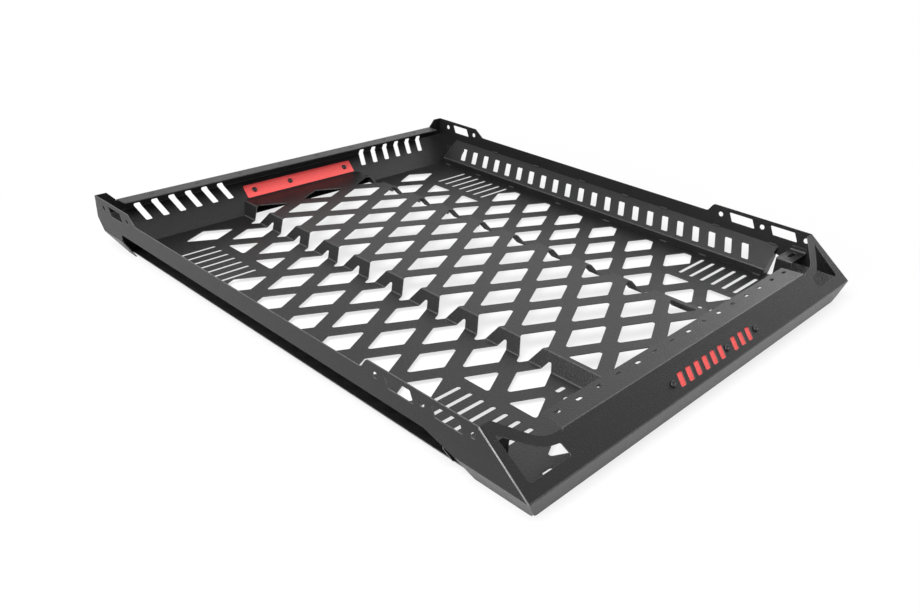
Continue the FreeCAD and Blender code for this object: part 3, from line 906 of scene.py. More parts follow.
@dataclass
class FrontFascia:
    """Sloping front sheet with flange, lip, end wings and vents.

    Attributes:
        flange_depth: Depth of the top flange.
        flange_half: Half the flange's length.
        flange_taper: How much shorter each half is at the flange's edge.
        relief: Width of the cut between flange and wing.
        relief_depth: How far that cut runs below the fold.
        wing_top: Half width at which a wing meets the ear top.
        wing_waist: Half width and rise of the wing edge's bend.
        wing_curve: Start, first pull and last pull of the curve from the cut to that bend.
        curve_points: Points on that curve.
        sill: Level run from the tip to a wing window's lower edge.
        window: Corners of a wing window from the sill, as half width and rise.
        window_radii: Radius at each of those corners.
        slot_pitch: Pitch of the flange slots.
        slot_count: Number of flange slots.
        slot_half: Half the distance between a flange slot's end centres.
        slot_radius: Half a flange slot's width.
        slot_inset: Distance of the slots from the flange's edge.
        vent_heights: Lower and upper height of the vents.
        vent_width: Width of a vent.
        vent_slant: Sideways lean of a vent over its height.
        vent_pitch: Pitch of the vents in a group.
        vent_corner: Corner radius of a vent.
        vents: First vent's place and number of vents, for each group.
        bolt_height: Height of the bolt holes.
        bolt_radius: Radius of the bolt holes.
        bolts: Places of the bolt holes.
        foot_radius: Radius of the lip's lower corners.
        arc_steps: Segments in each arc of a window or lower corner.
    """

    flange_depth: float = 0.042
    flange_half: float = 0.378
    flange_taper: float = 0.008
    relief: float = 0.0012
    relief_depth: float = 0.004
    wing_top: float = 0.478
    wing_waist: Point = (0.4325, 0.0124)
    wing_curve: Tuple[float, float, float] = (0.008, 0.032, 0.012)
    curve_points: int = 10
    sill: float = 0.0175
    window: Tuple[Point, ...] = ((0.479, 0.0), (0.4845, 0.061), (0.448, 0.036), (0.424, 0.022),
                                 (0.395, 0.0175), (0.391, 0.0))
    window_radii: Tuple[float, ...] = (0.006, 0.0015, 0.060, 0.060, 0.003, 0.003)
    slot_pitch: float = 0.0504
    slot_count: int = 15
    slot_half: float = 0.004
    slot_radius: float = 0.003
    slot_inset: float = 0.013
    vent_heights: Point = (0.050, 0.064)
    vent_width: float = 0.015
    vent_slant: float = 0.009
    vent_pitch: float = 0.025
    vent_corner: float = 0.0025
    vents: Tuple[Tuple[float, int], ...] = ((-0.121, 6), (0.048, 3))
    bolt_height: float = 0.057
    bolt_radius: float = 0.0035
    bolts: Tuple[float, ...] = (-0.134, 0.033, 0.134)
    foot_radius: float = 0.012
    arc_steps: int = 6

    def build(self, shell: Shell, finish: bpy.types.Material) -> bpy.types.Object:
        """Builds the fascia.

        Args:
            shell: Shared lines.
            finish: Its coat.

        Returns:
            The dressed piece.
        """
        fold, tip = shell.face_fold, shell.low.y
        lower = [(tip, shell.tip_height), (tip + shell.lip_run, 0.0)]
        profile = Profile([(fold + self.flange_depth, shell.face_top), (fold, shell.face_top)] + lower)
        ear = [(shell.ear_front, shell.high.z)] + lower
        wing = Profile(ear, start=profile.marks[2] - Profile(ear).marks[1])

        def slope(y: float) -> float:
            """Returns the measure on the straight face, never on the lip."""
            part = (y - shell.ear_front) / (tip - shell.ear_front)
            return wing.marks[0] + part * (wing.marks[1] - wing.marks[0])

        edge_u = slope(fold)
        inner = self.flange_half + self.relief
        waist = Vector((slope(fold + self.wing_waist[1]), self.wing_waist[0], 0))
        climb = (Vector((wing.marks[0], self.wing_top, 0)) - waist).normalized()
        start, pull, last_pull = self.wing_curve
        curve = interpolate_bezier(Vector((edge_u, inner + start, 0)), Vector((edge_u, inner + pull, 0)),
                                   waist - climb * last_pull, waist, self.curve_points)
        slit = profile.marks[1] + self.relief_depth
        right = [(0.0, self.flange_half - self.flange_taper), (slit, self.flange_half), (slit, inner)]
        right += [(p.x, p.y) for p in curve]
        corner = (wing.marks[1], shell.side_inner(shell.tip_height))
        foot = (wing.marks[2], shell.side_inner(0.0))
        right += [(wing.marks[0], self.wing_top), (wing.marks[0], shell.high.x - SHEET), corner]
        right += eased([corner, foot, (foot[0], 0.0)], self.foot_radius, self.arc_steps)

        holes: List[Loop] = []
        for side in Side:
            corners = [(slope(tip + self.sill + rise), out * side.value) for out, rise in self.window]
            holes.append(rounded(corners, self.window_radii, self.arc_steps))
        for place in spaced(self.slot_count, self.slot_pitch):
            holes.append(oval((self.slot_inset, place), self.slot_half, self.slot_radius))
        rise = (shell.high.z - shell.tip_height) / (wing.marks[1] - wing.marks[0])
        low, high = (wing.marks[1] - (z - shell.tip_height) / rise for z in self.vent_heights)
        for first, count in self.vents:
            for step in range(count):
                x = first + step * self.vent_pitch
                loop = [(low, x), (low, x + self.vent_width), (high, x + self.vent_width + self.vent_slant),
                        (high, x + self.vent_slant)]
                holes.append(rounded(loop, self.vent_corner))
        bolt_u = wing.marks[1] - (self.bolt_height - shell.tip_height) / rise
        holes += [ring((bolt_u, x), self.bolt_radius) for x in self.bolts]
        sheet = FoldedSheet("front_fascia_sheet", profile, Lie.ACROSS, mirrored(right), holes, (0, -1),
                            tabs=wing, split=self.flange_half + self.relief / 2)
        return stand_for(sheet.build(finish), "front_fascia")


@dataclass
class RearWall:
    """Rear sheet with an inward flange, end tabs and slanted slots.

    Attributes:
        flange: Depth of the top flange.
        flange_taper: How much shorter each half is at the flange's edge.
        relief: Width of the cut between flange and tab.
        relief_depth: How far that cut runs below the fold.
        top: Height of the flange.
        tab_top: Half width at which a tab's top ends.
        tab_foot: Half width at which a tab meets the flange.
        slot_first: Half width of the first slot's upper end.
        slot_pitch: Pitch of the slots.
        slot_count: Number of slots at each end.
        slot_width: Width of a slot.
        slot_slant: Sideways lean of a slot over its height.
        slot_corner: Corner radius of a slot.
        slot_heights: Lower and upper height of the slots.
        dash_pitch: Pitch of the short slots in the flange.
        dash_count: Number of those slots.
        dash_size: Length and width of one such slot.
        lean_clearance: How far above the side plates' fold the ends start to lean in.
    """

    flange: float = 0.035
    flange_taper: float = 0.004
    relief: float = 0.0012
    relief_depth: float = 0.004
    top: float = 0.096
    tab_top: float = 0.475
    tab_foot: float = 0.458
    slot_first: float = 0.205
    slot_pitch: float = 0.0404
    slot_count: int = 6
    slot_width: float = 0.0155
    slot_slant: float = 0.0145
    slot_corner: float = 0.003
    slot_heights: Point = (0.043, 0.0775)
    dash_pitch: float = 0.110
    dash_count: int = 8
    dash_size: Point = (0.014, 0.0035)
    lean_clearance: float = 0.001

    def build(self, shell: Shell, finish: bpy.types.Material) -> bpy.types.Object:
        """Builds the rear wall.

        Args:
            shell: Shared lines.
            finish: Its coat.

        Returns:
            The dressed piece.
        """
        back = shell.high.y
        lower = [(back, shell.rear_fold), (back - shell.rear_run, shell.rear_foot)]
        profile = Profile([(back - self.flange, self.top), (back, self.top)] + lower)
        tab = Profile([(back, shell.high.z)] + lower, start=profile.marks[1] - (shell.high.z - self.top))

        def wall(z: float) -> float:
            """Returns the measure at a height of the wall below the flange."""
            return tab.measure(1, z)

        lean_start = shell.tip_height + self.lean_clearance
        slit = profile.marks[1] + self.relief_depth
        right = [(0.0, self.tab_foot - self.flange_taper), (slit, self.tab_foot - self.relief),
                 (slit, self.tab_foot), (profile.marks[1], self.tab_foot),
                 (tab.marks[0], self.tab_top), (tab.marks[0], shell.high.x - SHEET),
                 (wall(lean_start), shell.side_inner(lean_start)),
                 (tab.marks[-1], shell.side_inner(shell.rear_foot))]
        low, high = self.slot_heights
        holes: List[Loop] = []
        for side in Side:
            for step in range(self.slot_count):
                first = self.slot_first + step * self.slot_pitch
                bend = first - self.slot_slant * (high - shell.rear_fold) / (high - low)
                foot = first - self.slot_slant
                rise = [(wall(low), foot), (wall(shell.rear_fold), bend), (wall(high), first)]
                far = [(u, v + self.slot_width) for u, v in rise]
                loop = [rise[0], *far, rise[2], rise[1]]
                holes.append(rounded([(u, v * side.value) for u, v in loop], self.slot_corner))
        long, wide = self.dash_size
        for place in spaced(self.dash_count, self.dash_pitch):
            holes.append(oval((self.flange / 2, place), (long - wide) / 2, wide / 2))
        sheet = FoldedSheet("rear_wall_sheet", profile, Lie.ACROSS, mirrored(right), holes, (0, -1),
                            tabs=tab, split=self.tab_foot - self.relief / 2)
        return stand_for(sheet.build(finish), "rear_wall")


@dataclass
class SidePlate:
    """Outer side sheet with ears, rail, arch and inward lip.

    Attributes:
        side: Which side it is.
        rail: Height of the rail between the ears.
        front_ear: Length of the front ear's top.
        front_step: Level run of the slope behind the front ear.
        ear_radius: Radius of the corners behind the front ear.
        rear_ear: Length of the rear ear's top.
        rear_slope: Level run of the slope before the rear ear.
        rear_ear_radius: Radius of the corners before the rear ear.
        arch_height: Height of the arch between the feet.
        arch_front: Front end of the arch, back from the tip.
        arch_front_run: Level run of the arch's front slope above the lip.
        arch_lip_run: Level run of that slope on the lip.
        arch_rear: Rear end of the arch, forward from the back.
        arch_rear_run: Level run of the arch's rear slope.
        arch_radius: Radius of the arch's upper corners.
        toe_radius: Radius of the front lower corner.
        arc_steps: Segments in each arc of the outline.
        hole_radius: Radius of the ear holes.
        hole_drop: Distance of the ear holes below the top.
        front_holes: Places of the front holes, back from the ear's front corner.
        rear_holes: Places of the rear holes, forward from the back.
        window_drop: Distance of the ear windows below the top.
        window_height: Height of an ear window.
        window_slant: Lean of an ear window over its height.
        window_corner: Corner radius of an ear window.
        front_windows: Place and length of each front window.
        rear_window: Place and length of the rear window.
    """

    side: Side
    rail: float = 0.0954
    front_ear: float = 0.2235
    front_step: float = 0.0125
    ear_radius: float = 0.009
    rear_ear: float = 0.140
    rear_slope: float = 0.027
    rear_ear_radius: float = 0.005
    arch_height: float = 0.059
    arch_front: float = 0.195
    arch_front_run: float = 0.063
    arch_lip_run: float = 0.015
    arch_rear: float = 0.101
    arch_rear_run: float = 0.005
    arch_radius: float = 0.006
    toe_radius: float = 0.012
    arc_steps: int = 5
    hole_radius: float = 0.0055
    hole_drop: float = 0.018
    front_holes: Tuple[float, ...] = (0.0078, 0.1055, 0.2032)
    rear_holes: Tuple[float, ...] = (0.0355, 0.1343)
    window_drop: float = 0.008
    window_height: float = 0.0195
    window_slant: float = 0.0092
    window_corner: float = 0.0022
    front_windows: Tuple[Point, ...] = ((0.034, 0.0545), (0.130, 0.0545))
    rear_window: Point = (0.1065, 0.052)

    def outline(self, shell: Shell) -> Loop:
        """Makes the outline as place along the side and height.

        Args:
            shell: Shared lines.

        Returns:
            The closed loop, rounded at the ears, the arch and the front lower corner.
        """
        top, back, tip = shell.high.z, shell.high.y, shell.low.y
        ear = [(shell.ear_front, top), (shell.ear_front + self.front_ear, top)]
        ear.append((ear[1][0] + self.front_step, self.rail))
        slope = back - self.rear_ear
        rear_ear = [(slope - self.rear_slope, self.rail), (slope, top), (back, top)]
        toe = back - shell.rear_run * shell.rear_fold / (shell.rear_fold - shell.rear_foot)
        heel = (back - self.arch_rear + self.arch_rear_run, 0.0)
        arch = [(back - self.arch_rear, self.arch_height), (tip + self.arch_front, self.arch_height)]
        foot = (tip + self.arch_front - self.arch_front_run, shell.tip_height)
        lip = (foot[0] - self.arch_lip_run, 0.0)
        front = (tip, shell.tip_height)
        steps = self.arc_steps
        return [
            ear[0], *eased([*ear, rear_ear[0]], self.ear_radius, steps),
            *eased([ear[2], *rear_ear], self.rear_ear_radius, steps), rear_ear[2],
            (back, shell.rear_fold), (toe, 0.0), heel,
            *eased([heel, *arch, foot], self.arch_radius, steps), foot, lip,
            *eased([lip, (tip + shell.lip_run, 0.0), front], self.toe_radius, steps), front,
        ]

    def build(self, shell: Shell, finish: bpy.types.Material) -> bpy.types.Object:
        """Builds the side plate.

        Args:
            shell: Shared lines.
            finish: Its coat.

        Returns:
            The dressed piece.
        """
        sign = self.side.value
        profile = Profile([(shell.high.x * sign, shell.high.z), (shell.high.x * sign, shell.tip_height),
                           ((shell.high.x - shell.side_lean) * sign, 0.0)])

        def flat(loop: Sequence[Point]) -> Loop:
            """Returns a loop of (place, height) as (measure, place)."""
            return [(profile.measure(1, z), y) for y, z in loop]

        level = shell.high.z - self.hole_drop
        holes = [flat(ring((shell.ear_front + run, level), self.hole_radius)) for run in self.front_holes]
        holes += [flat(ring((shell.high.y - run, level), self.hole_radius)) for run in self.rear_holes]
        upper = shell.high.z - self.window_drop
        lower = upper - self.window_height
        windows = [(shell.ear_front + run, long) for run, long in self.front_windows]
        windows.append((shell.high.y - self.rear_window[0], self.rear_window[1]))
        for front, long in windows:
            corners = [(front, upper), (front + long, upper), (front + long - self.window_slant, lower),
                       (front - self.window_slant, lower)]
            holes.append(flat(rounded(corners, self.window_corner)))
        name = f"side_plate_{self.side.name.lower()}"
        outline = flat(self.outline(shell))
        sheet = FoldedSheet(f"{name}_sheet", profile, Lie.ENDWAYS, outline, holes, (-sign, 0))
        return stand_for(sheet.build(finish), name)


@dataclass
class SideLiner:
    """Inner slotted incline with an upright foot on the deck.

    Attributes:
        side: Which side it is.
        top: Height at which it meets the side plate.
        fold: Height of its fold.
        foot: Half width of its foot.
        length: Length along the basket.
        middle: Place of its middle.
        slot_heights: Lower and upper height of the slots.
        slot_width: Width of a slot.
        slot_slant: Lean of a slot over its height.
        slot_corner: Corner radius of a slot.
        slot_pitch: Pitch of the slots.
        slot_count: Number of slots.
    """

    side: Side
    top: float = 0.0675
    fold: float = 0.026
    foot: float = 0.451
    length: float = 0.9595
    middle: float = 0.0435
    slot_heights: Point = (0.0325, 0.0555)
    slot_width: float = 0.016
    slot_slant: float = 0.017
    slot_corner: float = 0.002
    slot_pitch: float = 0.0402
    slot_count: int = 22

    def profile(self, shell: Shell) -> Profile:
        """Returns the section of the inner face."""
        sign = self.side.value
        return Profile([((shell.high.x - SHEET) * sign, self.top), (self.foot * sign, self.fold),
                        (self.foot * sign, shell.deck_low)])

    def build(self, shell: Shell, finish: bpy.types.Material) -> bpy.types.Object:
        """Builds the liner.

        Args:
            shell: Shared lines.
            finish: Its coat.

        Returns:
            The dressed piece.
        """
        profile = self.profile(shell)
        ends = (self.middle - self.length / 2, self.middle + self.length / 2)
        first, last = profile.marks[0], profile.marks[-1]
        outline = [(first, ends[0]), (last, ends[0]), (last, ends[1]), (first, ends[1])]
        low, high = (profile.measure(1, z) for z in self.slot_heights)
        holes: List[Loop] = []
        for shift in spaced(self.slot_count, self.slot_pitch):
            place = self.middle + shift - self.slot_width / 2
            foot, head = place - self.slot_slant / 2, place + self.slot_slant / 2
            corners = [(low, foot), (low, foot + self.slot_width), (high, head + self.slot_width),
                       (high, head)]
            holes.append(rounded(corners, self.slot_corner))
        name = f"side_liner_{self.side.name.lower()}"
        inward = (self.side.value, -1)
        sheet = FoldedSheet(f"{name}_sheet", profile, Lie.ENDWAYS, outline, holes, inward)
        self.caps(shell, ends, finish)
        return stand_for(sheet.build(finish), name)

    def caps(self, shell: Shell, ends: Point, finish: bpy.types.Material) -> None:
        """Closes the hollow behind the liner at both ends.

        Args:
            shell: Shared lines.
            ends: Places of the two ends.
            finish: Their coat.
        """
        corners = [(shell.high.x - SHEET, self.top), (self.foot, self.fold), (self.foot, shell.deck_low),
                   (shell.side_inner(shell.deck_low), shell.deck_low),
                   (shell.side_inner(shell.tip_height), shell.tip_height)]
        outline = [(z - shell.deck_low, x * self.side.value) for x, z in corners]
        for label, place, inward in (("front", ends[0], 1), ("rear", ends[1], -1)):
            profile = Profile([(place, shell.deck_low), (place, self.top)])
            name = f"liner_cap_{label}_{self.side.name.lower()}"
            cap = FoldedSheet(name, profile, Lie.ACROSS, outline, [], (inward, 0))
            ride_along(cap.build(finish))


@dataclass
class CornerBracket:
    """Slotted tab in a front corner, with a lip on the side plate and a leg on the deck.

    Attributes:
        side: Which side it is.
        lip: Height of the lip.
        tab: Height of the tab.
        leg: Half width of the leg.
        length: Length along the basket.
        inset: Distance of its middle from the ear's front corner.
        bend: Bend radius.
        corner: Corner radius.
        slot_middle: Half width of the slot's middle.
        slot_half: Half the distance between the slot's end centres.
        slot_radius: Half the slot's width.
    """

    side: Side
    lip: float = 0.079
    tab: float = 0.070
    leg: float = 0.432
    length: float = 0.034
    inset: float = 0.018
    bend: float = 0.003
    corner: float = 0.003
    slot_middle: float = 0.468
    slot_half: float = 0.011
    slot_radius: float = 0.0045

    def build(self, shell: Shell, finish: bpy.types.Material) -> bpy.types.Object:
        """Builds the bracket.

        Args:
            shell: Shared lines.
            finish: Its coat.

        Returns:
            The dressed piece.
        """
        sign = self.side.value
        inner = (shell.high.x - 2 * SHEET) * sign
        profile = Profile([(inner, self.lip), (inner, self.tab), (self.leg * sign, self.tab),
                           (self.leg * sign, shell.deck_low)], radius=self.bend)
        place = shell.ear_front + self.inset
        ends = (place - self.length / 2, place + self.length / 2)
        last = profile.marks[-1]
        outline = rounded([(0.0, ends[0]), (last, ends[0]), (last, ends[1]), (0.0, ends[1])], self.corner)
        slot = profile.marks[1] + abs(inner) - self.slot_middle
        hole = [(u, v) for v, u in oval((place, slot), self.slot_half, self.slot_radius)]
        name = f"corner_bracket_{self.side.name.lower()}"
        sheet = FoldedSheet(f"{name}_sheet", profile, Lie.ENDWAYS, outline, [hole], (sign, 0))
        return stand_for(sheet.build(finish), name)


@dataclass
class BackingPlates:
    """Red plates behind the front face's vents and on the rear wall.

    Attributes:
        front_half: Half the front plate's length.
        front_runs: Upper and lower edge of the front plate, back from the tip.
        rear_half: Half the rear plate's length.
        rear_heights: Lower edge, bend and upper edge of the rear plate.
        bolt_height: Height of the front holes.
        rear_hole: Height of the rear holes.
        hole_radius: Radius of the holes.
        front_bolts: Places of the front holes.
        rear_bolts: Places of the rear holes.
        bend: Bend radius of the rear plate.
        corner: Corner radius of the plates.
    """

    front_half: float = 0.152
    front_runs: Point = (0.036, 0.006)
    rear_half: float = 0.158
    rear_heights: Tuple[float, float, float] = (0.037, 0.057, 0.062)
    bolt_height: float = 0.057
    rear_hole: float = 0.049
    hole_radius: float = 0.0035
    front_bolts: Tuple[float, ...] = (-0.134, 0.033, 0.134)
    rear_bolts: Tuple[float, ...] = (-0.134, -0.033, 0.134)
    bend: float = 0.003
    corner: float = 0.003

    def plate(self, name: str, profile: Profile, half: float, inward: Point, height: float,
              places: Sequence[float], finish: bpy.types.Material) -> bpy.types.Object:
        """Builds one plate.

        Args:
            name: Node that the plate stands for.
            profile: Its section.
            half: Half its length.
            inward: Direction of its thickness.
            height: Height of its holes.
            places: Places of its holes.
            finish: Its coat.

        Returns:
            The dressed piece.
        """
        last = profile.marks[-1]
        outline = rounded([(0.0, -half), (last, -half), (last, half), (0.0, half)], self.corner)
        level = Profile(profile.corners[:2]).measure(1, height)
        holes = [ring((level, x), self.hole_radius) for x in places]
        sheet = FoldedSheet(f"{name}_sheet", profile, Lie.ACROSS, outline, holes, inward)
        return stand_for(sheet.build(finish), name)

    def build(self, shell: Shell, finish: bpy.types.Material) -> List[bpy.types.Object]:
        """Builds both plates.

        Args:
            shell: Shared lines.
            finish: Their coat.

        Returns:
            The dressed pieces.
        """
        foot = shell.tip_height - SHEET * math.hypot(1, shell.face_slope)
        front = Profile([(shell.low.y + run, foot + shell.face_slope * run) for run in self.front_runs])
        low, bend, top = self.rear_heights
        upright = shell.rear_inner(bend)
        rear = Profile([(shell.rear_inner(low), low), (upright, bend), (upright, top)], radius=self.bend)
        return [
            self.plate("backing_plate_front", front, self.front_half, (1, -1), self.bolt_height,
                       self.front_bolts, finish),
            self.plate("backing_plate_rear", rear, self.rear_half, (-1, 1), self.rear_hole,
                       self.rear_bolts, finish),
        ]


@dataclass
class ButtonBolts:
    """Button-head bolts with hexagon sockets that hold the red plates.

    Attributes:
        head: Head radius.
        rise: Head height.
        socket: Socket radius over its corners.
        depth: Socket depth.
        turns: Segments round a head.
        land: Flat top's radius as a multiple of the socket's.
        brim: Share of the rise up to which the head's edge is straight.
        dome: Angles of the dome's points, in degrees.
    """

    head: float = 0.0060
    rise: float = 0.0032
    socket: float = 0.0027
    depth: float = 0.0018
    turns: int = 28
    land: float = 1.25
    brim: float = 0.35
    dome: Tuple[float, ...] = (0.0, 15.0, 30.0, 45.0, 60.0)

    def one(self, mesh: bmesh.types.BMesh, seat: Matrix) -> None:
        """Adds one bolt head.

        Args:
            mesh: Mesh that takes the head.
            seat: Place of its underside, with local Z outwards.
        """
        before = set(mesh.verts)
        flat = self.socket * self.land
        angles = [math.radians(angle) for angle in self.dome]
        section = [(self.head, 0.0)]
        for angle in angles:
            swell = (1 - self.brim) * math.sin(angle) / math.sin(angles[-1])
            section.append((flat + (self.head - flat) * math.cos(angle), self.rise * (self.brim + swell)))
        section.append((flat, self.rise))
        line = [mesh.verts.new((r, 0.0, z)) for r, z in section]
        edges = [mesh.edges.new(pair) for pair in zip(line, line[1:])]
        bmesh.ops.spin(mesh, geom=line + edges, cent=(0, 0, 0), axis=(0, 0, 1), angle=math.tau,
                       steps=self.turns, use_merge=True)
        fresh = [v for v in mesh.verts if v not in before]
        for face in {f for v in fresh for f in v.link_faces}:
            face.smooth = True
        rings = [e for e in {e for v in fresh for e in v.link_edges} if e.is_boundary]
        upper = [e for e in rings if e.verts[0].co.z > self.rise / 2]
        bmesh.ops.holes_fill(mesh, edges=[e for e in rings if e not in upper], sides=0)
        key = bmesh.ops.create_circle(mesh, cap_ends=False, segments=6, radius=self.socket,
                                      matrix=Matrix.Translation((0, 0, self.rise)))["verts"]
        hexagon = list({e for v in key for e in v.link_edges})
        bmesh.ops.bridge_loops(mesh, edges=upper + hexagon)
        wall = bmesh.ops.extrude_edge_only(mesh, edges=hexagon)["geom"]
        floor = [v for v in wall if isinstance(v, bmesh.types.BMVert)]
        bmesh.ops.translate(mesh, verts=floor, vec=(0, 0, -self.depth))
        bmesh.ops.holes_fill(mesh, edges=[e for e in wall if isinstance(e, bmesh.types.BMEdge)], sides=0)
        fresh = [v for v in mesh.verts if v not in before]
        bmesh.ops.transform(mesh, matrix=seat, verts=fresh)

    def build(self, shell: Shell, plates: BackingPlates,
              finish: bpy.types.Material) -> List[bpy.types.Object]:
        """Builds the bolts of both plates.

        Args:
            shell: Shared lines.
            plates: The plates that they hold.
            finish: Their plating.

        Returns:
            The front and the rear set.
        """
        run = (plates.bolt_height - shell.tip_height) / shell.face_slope
        front = Vector((0, shell.low.y + run, plates.bolt_height))
        out = Vector((0, -shell.face_slope, 1)).normalized()
        back = Vector((0, -1, 1)).normalized()
        rear = Vector((0, shell.rear_inner(plates.rear_hole), plates.rear_hole)) + back * SHEET
        pieces = []
        for name, seat, normal, places in (("front_bolts", front, out, plates.front_bolts),
                                           ("rear_bolts", rear, back, plates.rear_bolts)):
            mesh = bmesh.new()
            turn = normal.to_track_quat("Z", "Y").to_matrix().to_4x4()
            for x in places:
                self.one(mesh, Matrix.Translation(seat + Vector((x, 0, 0))) @ turn)
            bmesh.ops.recalc_face_normals(mesh, faces=mesh.faces[:])
            pieces.append(ride_along(finished(mesh, name, finish)))
        return pieces


@dataclass
class WeldMarks:
    """Tabs that pin the liners, and weld beads along the corners, both carrying a painted highlight.

    Attributes:
        upper: Places of the tabs along the liner tops.
        lower: Places of the tabs along the liner feet.
        tab: Length, width and height of a tab.
        tab_bevel: Bevel of a tab's edges.
        bead: Radius of a weld bead.
        bead_turns: Segments round a bead.
        inset: How far tabs and beads are set in from the faces beside them.
    """

    upper: Tuple[float, ...] = (0.374, 0.230, 0.082, -0.047, -0.153, -0.290, -0.425)
    lower: Tuple[float, ...] = (0.503, 0.388, 0.270, 0.113, -0.034, -0.193, -0.294, -0.423)
    tab: Tuple[float, float, float] = (0.017, 0.003, 0.0024)
    tab_bevel: float = 0.0006
    bead: float = 0.0011
    bead_turns: int = 10
    inset: float = 0.001

    def box(self, mesh: bmesh.types.BMesh, place: Vector) -> None:
        """Adds one tab with rounded edges.

        Args:
            mesh: Mesh that takes the tab.
            place: Its middle.
        """
        long, wide, tall = self.tab
        size = Matrix.Diagonal((wide, long, tall, 1))
        made = bmesh.ops.create_cube(mesh, size=1.0, matrix=Matrix.Translation(place) @ size)["verts"]
        edges = list({e for v in made for e in v.link_edges})
        bmesh.ops.bevel(mesh, geom=edges, offset=self.tab_bevel, segments=2, profile=0.5,
                        affect="EDGES", material=-1)

    def run(self, mesh: bmesh.types.BMesh, start: Vector, end: Vector) -> None:
        """Adds one straight bead.

        Args:
            mesh: Mesh that takes the bead.
            start: Its first end.
            end: Its other end.
        """
        along = end - start
        turn = along.to_track_quat("Z", "Y").to_matrix().to_4x4()
        place = Matrix.Translation((start + end) / 2) @ turn
        made = bmesh.ops.create_cone(mesh, cap_ends=True, segments=self.bead_turns, radius1=self.bead,
                                     radius2=self.bead, depth=along.length, matrix=place)
        for face in {f for v in made["verts"] for f in v.link_faces}:
            face.smooth = len(face.verts) == 4

    def build(self, shell: Shell, liner: SideLiner, coat: bpy.types.Material,
              bead_highlight: bpy.types.Material) -> List[bpy.types.Object]:
        """Builds the tabs and beads of both sides.

        Args:
            shell: Shared lines.
            liner: Sizes of the liners that the tabs pin.
            coat: Finish of the tabs.
            bead_highlight: Light grey finish of the beads, a painted highlight along the corner seams.

        Returns:
            The tabs and the beads.
        """
        tabs, beads = bmesh.new(), bmesh.new()
        inset, top, back = self.inset, shell.high.z - self.inset, shell.high.y - self.inset
        tops = (shell.high.x - SHEET - inset, liner.top + inset, self.upper)
        feet = (liner.foot - inset, shell.deck_low + inset, self.lower)
        seams = (((shell.ear_front, top), (shell.low.y + inset, shell.tip_height)),
                 ((back, top), (back, shell.rear_fold)))
        for side in Side:
            for out, height, places in (tops, feet):
                for place in places:
                    self.box(tabs, Vector((out * side.value, place, height)))
            edge = (shell.high.x - SHEET / 2) * side.value
            for start, end in seams:
                self.run(beads, Vector((edge, *start)), Vector((edge, *end)))
        pieces = []
        # Painted highlight: tabs and beads take part of the lighter rim colour all over, and the beads are
        # light grey, for the bright lines along them.
        for name, mesh, finish in (("liner_tabs", tabs, coat), ("corner_beads", beads, bead_highlight)):
            rim = mesh.verts.layers.float.new("rim")
            for vert in mesh.verts:
                vert[rim] = FOLD_PAINTED_HIGHLIGHT
            pieces.append(ride_along(finished(mesh, name, finish)))
        return pieces


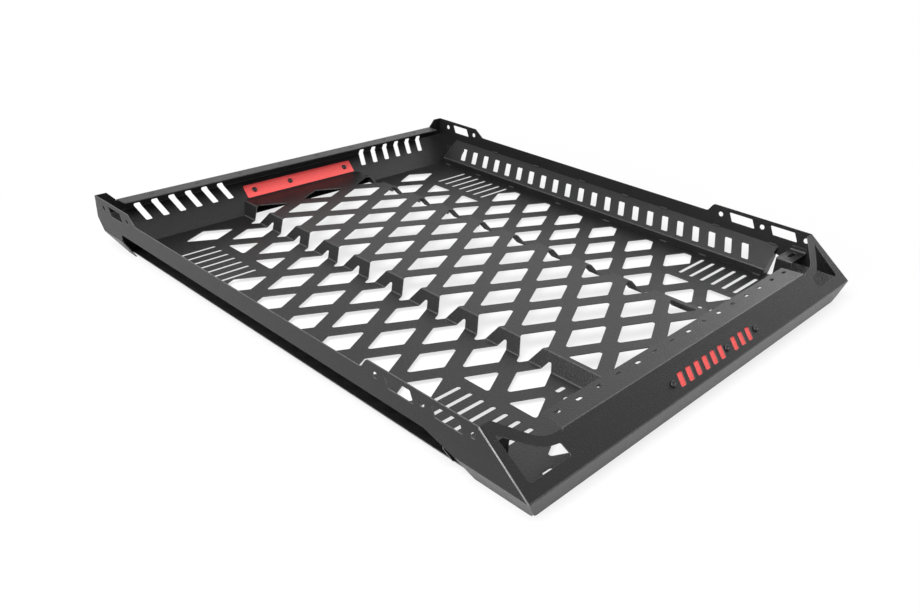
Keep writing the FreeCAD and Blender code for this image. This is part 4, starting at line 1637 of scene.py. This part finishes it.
@dataclass
class Studio:
    """White floor, soft lamps and the photograph's camera.

    Attributes:
        focal: Focal length in pixels of the photograph.
        sensor: Width of the camera's sensor in millimetres.
        clip: Nearest and furthest distance that the camera sees.
        width: Width of the photograph in pixels.
        eye: Camera place.
        yaw: Heading of the view from +Y towards +X, in degrees.
        pitch: Downward tilt in degrees.
        roll: Roll in degrees.
        fill: Strength of the surroundings' own light.
        floor_size: Reach of the floor from its middle.
    """

    focal: float = 847.1
    sensor: float = 36.0
    clip: Point = (0.05, 50.0)
    width: float = 920.0
    eye: Tuple[float, float, float] = (-1.175, -1.0865, 0.755)
    yaw: float = 46.95
    pitch: float = 27.60
    roll: float = 2.90
    fill: float = 0.14
    floor_size: float = 14.0

    def camera(self) -> bpy.types.Object:
        """Sets up the camera.

        Returns:
            The camera object.
        """
        yaw, pitch, roll = (math.radians(a) for a in (self.yaw, self.pitch, self.roll))
        ahead = Vector((math.sin(yaw) * math.cos(pitch), math.cos(yaw) * math.cos(pitch), -math.sin(pitch)))
        level = Vector((math.cos(yaw), -math.sin(yaw), 0))
        rise = level.cross(ahead)
        right = level * math.cos(roll) + rise * math.sin(roll)
        up = rise * math.cos(roll) - level * math.sin(roll)
        data = bpy.data.cameras.new("photo_camera")
        data.sensor_fit = "HORIZONTAL"
        data.sensor_width = self.sensor
        data.lens = self.focal / self.width * self.sensor
        data.clip_start, data.clip_end = self.clip
        camera = bpy.data.objects.new("photo_camera", data)
        turn = Matrix((right, up, -ahead)).transposed().to_4x4()
        camera.matrix_world = Matrix.Translation(self.eye) @ turn
        bpy.context.scene.collection.objects.link(camera)
        bpy.context.scene.camera = camera
        return camera

    def lamp(self, name: str, place: Tuple[float, float, float], size: float, power: float) -> None:
        """Adds a square soft lamp that faces the basket.

        Args:
            name: Lamp name.
            place: Its centre.
            size: Its side length.
            power: Its power in watts.
        """
        data = bpy.data.lights.new(name, "AREA")
        data.shape, data.size, data.energy = "SQUARE", size, power
        lamp = bpy.data.objects.new(name, data)
        lamp.location = place
        lamp.rotation_euler = (-Vector(place)).to_track_quat("-Z", "Y").to_euler()
        bpy.context.scene.collection.objects.link(lamp)

    def floor(self, finish: bpy.types.Material) -> bpy.types.Object:
        """Lays the floor under the basket.

        Args:
            finish: Its material.

        Returns:
            The floor object.
        """
        mesh = bmesh.new()
        bmesh.ops.create_grid(mesh, x_segments=1, y_segments=1, size=self.floor_size)
        floor = finished(mesh, "studio_floor", finish)
        floor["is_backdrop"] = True
        return floor

    def world(self) -> None:
        """Lights the surroundings evenly and shows them white to the camera and to the coat's mirror."""
        world = bpy.data.worlds.new("studio_world")
        bpy.context.scene.world = world
        world.use_nodes = True
        tree = world.node_tree
        sky = tree.nodes["Background"]
        sky.inputs["Color"].default_value = (1.0, 1.0, 1.0, 1.0)
        path = tree.nodes.new("ShaderNodeLightPath")
        seen = path.outputs["Is Camera Ray"]
        for ray in ("Is Glossy Ray", "Is Transmission Ray"):
            seen = joined(tree, "MAXIMUM", seen, path.outputs[ray])
        tree.links.new(ranged(tree, seen, (self.fill, 1.0)), sky.inputs["Strength"])

    def build(self) -> None:
        """Builds the whole studio."""
        scene = bpy.context.scene
        scene.view_settings.view_transform = "Standard"
        self.world()
        white = Backdrop("studio_white", lit_share=0.24, near=0.6, far=1.15, shade=(0.475, 0.572))
        self.floor(white.build())
        self.lamp("key_softbox", place=(-1.5, -0.4, 2.6), size=2.2, power=120.0)
        self.lamp("rear_softbox", place=(1.9, 0.9, 2.4), size=1.8, power=10.0)
        self.lamp("right_softbox", place=(2.6, -0.2, 1.3), size=1.2, power=14.0)
        self.lamp("left_softbox", place=(-2.9, -0.4, 0.7), size=1.2, power=70.0)
        self.camera()


def main() -> None:
    """Dresses the frame piece by piece and sets the studio round it."""
    logging.basicConfig(level=logging.INFO, format="%(name)s: %(message)s")
    low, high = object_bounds()
    shell = Shell(Vector(low), Vector(high))
    # The rim colour of each coat paints lighter rims and folds: partly scuffed coat, partly painted
    # highlight.
    black = PowderCoat("black_powder_coat", colour=(0.0085, 0.0085, 0.0088), rim_scuff_and_highlight=(0.14, 0.14, 0.14),
                       roughness=0.33, grain=0.0009, specular=0.29).build()
    # The red rim colour paints a saturated highlight along the rear plate's bend.
    red = PowderCoat("red_powder_coat", colour=(0.92, 0.095, 0.09), rim_scuff_and_highlight=(0.95, 0.04, 0.08),
                     roughness=0.36, grain=0.0003, specular=0.4).build()
    # Light grey weld bead coat: a painted highlight along the corner seams.
    bead_highlight = PowderCoat("weld_bead_painted_highlight", colour=(0.16, 0.16, 0.162), rim_scuff_and_highlight=(0.42, 0.42, 0.42),
                      roughness=0.32, grain=0.0003, specular=0.5).build()
    zinc = ZincSteel("black_zinc", colour=(0.035, 0.035, 0.037), roughness=0.38).build()
    Deck().build(shell, black)
    FrontFascia().build(shell, black)
    RearWall().build(shell, black)
    for side in Side:
        SidePlate(side).build(shell, black)
        SideLiner(side).build(shell, black)
        CornerBracket(side).build(shell, black)
    plates = BackingPlates()
    plates.build(shell, red)
    ButtonBolts().build(shell, plates, zinc)
    WeldMarks().build(shell, SideLiner(Side.RIGHT), black, bead_highlight)
    Studio().build()


if __name__ == "__main__":
    main()
